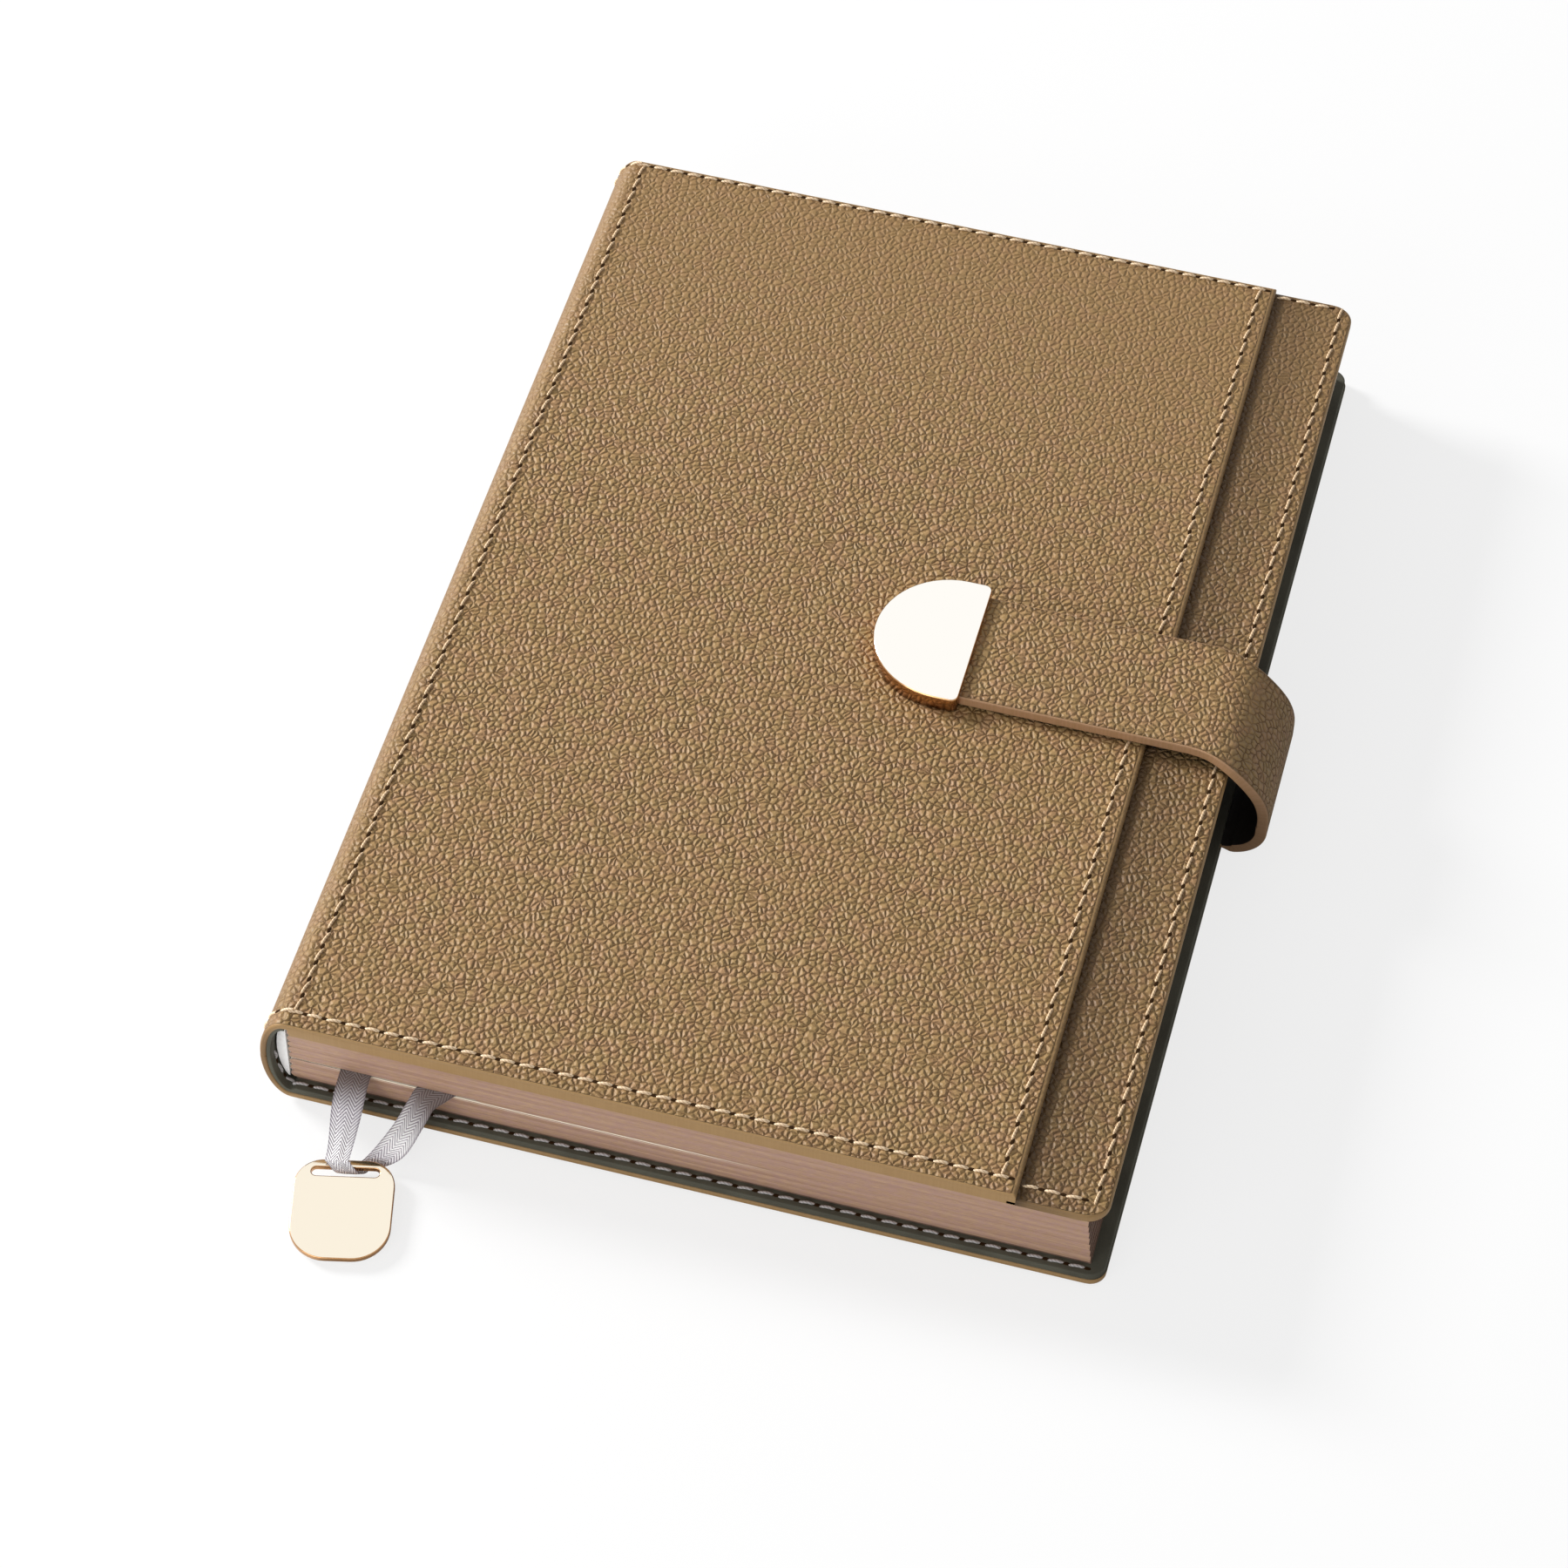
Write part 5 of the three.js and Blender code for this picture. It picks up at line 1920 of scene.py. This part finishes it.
@dataclass(frozen=True)
class Stitching:
    """Every row of stitches on the journal."""

    finishes: Finishes
    jacket: Jacket
    upright_pitch: float = 3.62
    level_pitch: float = 3.42
    spine_row_x: float = -68.8
    panel_row_x: float = 55.8
    fore_row_x: float = 72.0
    tail_y: float = -105.6
    head_y: float = 107.8
    tail_gap: float = 1.8
    head_gap: float = 1.5
    fore_gap: float = 1.0
    panel_gap: float = 1.6
    strip_gap: float = 1.8
    corner_gap: float = 1.9
    ledge_from_x: float = -68.5
    ledge_y: float = 107.5
    back_from_x: float = -69.0
    back_y: float = 106.0
    back_last_y: float = -104.2
    spine_lining_y: float = 106.9
    level_slant: float = 4.0

    def _flat(self, name: str, ground: Ground, thread: Material, pitch: float,
              points: Sequence[tuple[float, float]], slant: float = level_slant) -> Row:
        """A row on a flat face.

        Args:
            name: The row's name.
            ground: The face.
            thread: The thread's material.
            pitch: The length of one stitch with its gap.
            points: The row's corners, as X and Y.
            slant: How far each stitch leans, in degrees.

        Returns:
            The row.
        """
        line = tuple(Vector((x, y, ground.z)) for x, y in points)
        facing = tuple(Vector((0, 0, ground.up)) for _ in line)
        return Row(name, line, facing, pitch, thread, ground.body, slant)

    def _arc(self, name: str, y: float, start: float, stop: float, inside: bool, middle_z: float,
             hold: Body | Bend) -> Row:
        """A row round part of the spine at its head or tail.

        Args:
            name: The row's name.
            y: Its place along the spine.
            start: The first angle, in degrees.
            stop: The last angle.
            inside: Whether it is on the lining rather than on the leather.
            middle_z: The height of the middle of the spine.
            hold: The body it moves with, or the bend that it follows.

        Returns:
            The row.
        """
        depth = self.jacket.leather + self.jacket.spine_lining if inside else 0.0
        rx, rz = self.jacket.bulge - depth, middle_z - depth
        line, facing = [], []
        for angle in steps_between(math.radians(start), math.radians(stop), 24):
            c, s = math.cos(angle), math.sin(angle)
            line.append(Vector((self.jacket.fold_x + rx * c, y, middle_z + rz * s)))
            out = Vector((c / rx, 0, s / rz)).normalized()
            facing.append(-out if inside else out)
        thread = self.finishes.grey_thread if inside else self.finishes.cream_thread
        return Row(name, tuple(line), tuple(facing), self.level_pitch, thread, hold, self.level_slant)

    def _rows(self) -> list[Row]:
        """List every row."""
        # dull is the darker copy of the cream thread, painted shade, for the rows that run along Y.
        cream, dull = self.finishes.cream_thread, self.finishes.shaded_cream_thread
        grey = self.finishes.grey_thread
        top = Span.of("front_overlay_leather").high
        panel = Ground(top.z, 1, Body.COVER)
        strip = Ground(Span.of("front_base_leather").high.z, 1, Body.COVER)
        ledge = Ground(Span.of("back_lining").high.z, 1, Body.BACK)
        back = Ground(0.0, -1, Body.BACK)
        upright, level = self.upright_pitch, self.level_pitch
        spine_x, panel_x, fore_x = self.spine_row_x, self.panel_row_x, self.fore_row_x
        tail, head = self.tail_y, self.head_y
        low, high = tail + self.tail_gap, head - self.head_gap
        panel_end = top.x - self.panel_gap
        strip_start, strip_end = top.x + self.strip_gap, fore_x - self.corner_gap
        back_x, back_y = self.back_from_x, self.back_y
        round_back = [(back_x, -back_y), (fore_x, -back_y), (fore_x, back_y), (back_x, back_y),
                      (back_x, self.back_last_y)]
        flat = self._flat
        rows = [
            flat("spine_side_stitches", panel, dull, upright, [(spine_x, low), (spine_x, high)], -12.0),
            flat("panel_edge_stitches", panel, dull, upright, [(panel_x, low), (panel_x, high)], -10.0),
            flat("panel_tail_stitches", panel, cream, level, [(spine_x, tail), (panel_end, tail)]),
            flat("panel_head_stitches", panel, cream, level, [(spine_x, head), (panel_end, head)]),
            flat("strip_tail_stitches", strip, cream, level, [(strip_start, tail), (strip_end, tail)]),
            flat("strip_fore_stitches", strip, dull, upright,
                 [(fore_x, tail + self.fore_gap), (fore_x, head - self.fore_gap)], -8.0),
            flat("strip_head_stitches", strip, cream, level, [(strip_start, head), (strip_end, head)]),
            flat("back_tail_lining_stitches", ledge, grey, upright,
                 [(self.ledge_from_x, -self.ledge_y), (fore_x, -self.ledge_y)]),
            flat("back_head_lining_stitches", ledge, grey, upright,
                 [(self.ledge_from_x, self.ledge_y), (fore_x, self.ledge_y)]),
            flat("back_cover_stitches", back, cream, upright, round_back),
        ]
        middle_z = top.z / 2
        for end, y in (("tail", tail), ("head", head)):
            inner_y = math.copysign(self.spine_lining_y, y)
            rows += [
                self._arc(f"upper_spine_{end}_stitches", y, 96, 176, False, middle_z, self.jacket.bend),
                self._arc(f"lower_spine_{end}_stitches", y, 188, 266, False, middle_z, Body.BACK),
                self._arc(f"lower_spine_{end}_lining_stitches", inner_y, 190, 264, True,
                          middle_z, Body.BACK),
            ]
        return rows

    def _sew(self, row: Row, tree: bpy.types.NodeTree) -> Object:
        """Run the tree along one row and keep the result as a plain mesh.

        Args:
            row: The row.
            tree: The tree with the row's thread.

        Returns:
            The stitches.
        """
        mesh = bpy.data.meshes.new(row.name)
        edges = [(i, i + 1) for i in range(len(row.line) - 1)]
        mesh.from_pydata([p * MM for p in row.line], edges, [])
        facing = mesh.attributes.new("facing", "FLOAT_VECTOR", "POINT")
        facing.data.foreach_set("vector", [n for v in row.facing for n in v])
        source = linked(f"{row.name}_line", mesh)
        modifier = source.modifiers.new("sew", "NODES")
        modifier.node_group = tree
        sizes = {
            "Pitch": row.pitch * MM,
            "Stitch Length": row.pitch * StitchTree.length_share * MM,
            "Thread Radius": StitchTree.thread_radius * MM,
            "Hole Radius": StitchTree.hole_radius * MM,
            "Slant": math.radians(row.slant),
            "Seed": StitchTree.seed,
        }
        for item in tree.interface.items_tree:
            if item.in_out == "INPUT" and item.name in sizes:
                modifier[item.identifier] = sizes[item.name]
        return place_in_scene(row.name, take_mesh(source, row.name))

    def build(self) -> None:
        """Sew every row."""
        trees: dict[str, bpy.types.NodeTree] = {}
        for row in self._rows():
            key = row.thread.name
            if key not in trees:
                trees[key] = StitchTree(self.finishes.needle_hole).build(f"sew_{key}", row.thread)
            settle(self._sew(row, trees[key]), row.hold, "leather")


# Studio


@dataclass(frozen=True)
class Studio:
    """The pale floor, the soft lights and the camera at the photograph's angle."""

    camera_at: Numbers = (127.334, -539.005, 685.857)
    camera_right: Numbers = (0.96499072, 0.26200818, 0.01202593)
    camera_down: Numbers = (0.21347325, -0.7579415, -0.61640397)
    camera_ahead: Numbers = (-0.15238793, 0.59739132, -0.78733825)
    lens_mm: float = 108.78
    sensor_mm: float = 36.0
    clip: tuple[float, float] = (0.01, 20.0)
    floor_half: float = 4.0
    floor_z: float = -0.6
    world_level: float = 0.36
    key_at: Numbers = (-1.95, 0.55, 0.95)
    key_size: tuple[float, float] = (0.55, 0.55)
    key_watts: float = 74.0
    fill_at: Numbers = (-0.5, -1.2, 0.45)
    fill_size: tuple[float, float] = (1.0, 0.6)
    fill_watts: float = 6.5

    def _camera(self) -> None:
        """Set the camera."""
        data = bpy.data.cameras.new("photo_view")
        data.sensor_width = self.sensor_mm
        data.lens = self.lens_mm
        data.clip_start, data.clip_end = self.clip
        camera = linked("photo_view", data)
        right, down, ahead = (Vector(v) for v in (self.camera_right, self.camera_down, self.camera_ahead))
        turn = Matrix((right, -down, -ahead)).transposed().to_4x4()
        camera.matrix_world = Matrix.Translation(Vector(self.camera_at) * MM) @ turn
        bpy.context.scene.camera = camera

    def _lamp(self, name: str, at: Numbers, size: tuple[float, float], watts: float) -> None:
        """Add a soft lamp that looks at the journal.

        Args:
            name: Its name.
            at: Its place, in metres.
            size: Its width and height, in metres.
            watts: Its power.
        """
        data = bpy.data.lights.new(name, "AREA")
        data.shape = "RECTANGLE"
        data.size, data.size_y = size
        data.energy = watts
        lamp = linked(name, data)
        lamp.location = Vector(at)
        lamp.rotation_euler = (-Vector(at)).to_track_quat("-Z", "Y").to_euler()

    def _world(self) -> None:
        """Light the object evenly from all round, and show a white background."""
        world = bpy.data.worlds.new("pale_studio")
        bpy.context.scene.world = world
        world.use_nodes = True
        world.node_tree.nodes.clear()
        g = Graph(world.node_tree)
        ray = g.node("ShaderNodeLightPath")
        seen = ray.value("Is Camera Ray").at_least(ray.value("Is Glossy Ray"))
        seen = seen.at_least(ray.value("Is Transmission Ray"))
        level = seen * (1.0 - self.world_level) + self.world_level
        background = g.node("ShaderNodeBackground", None, {"Color": (1.0, 1.0, 1.0), "Strength": level})
        g.node("ShaderNodeOutputWorld", None, {"Surface": background.out(0)})

    def _floor(self) -> None:
        """Lay the floor."""
        half, z = self.floor_half, self.floor_z * MM
        mesh = bpy.data.meshes.new("floor")
        corners = [(-half, -half, z), (half, -half, z), (half, half, z), (-half, half, z)]
        mesh.from_pydata(corners, [], [(0, 1, 2, 3)])
        mesh.materials.append(PaleFloor().material())
        place_in_scene("floor", mesh)

    def build(self) -> None:
        """Set up everything round the object."""
        bpy.context.scene.view_settings.view_transform = "Standard"
        self._camera()
        self._world()
        self._floor()
        self._lamp("window", self.key_at, self.key_size, self.key_watts)
        self._lamp("reflector", self.fill_at, self.fill_size, self.fill_watts)


def main() -> None:
    """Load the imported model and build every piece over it."""
    logging.basicConfig(level=logging.INFO, format="%(name)s %(message)s")
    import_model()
    finishes = Finishes()
    jacket = Jacket(finishes)
    jacket.build()
    PageBlock(finishes).build()
    Strap(finishes).build()
    place = CharmPlace()
    charm = Charm(finishes, place).build()
    RibbonMarker(finishes, place).build(charm)
    Stitching(finishes, jacket).build()
    Studio().build()


if __name__ == "__main__":
    main()
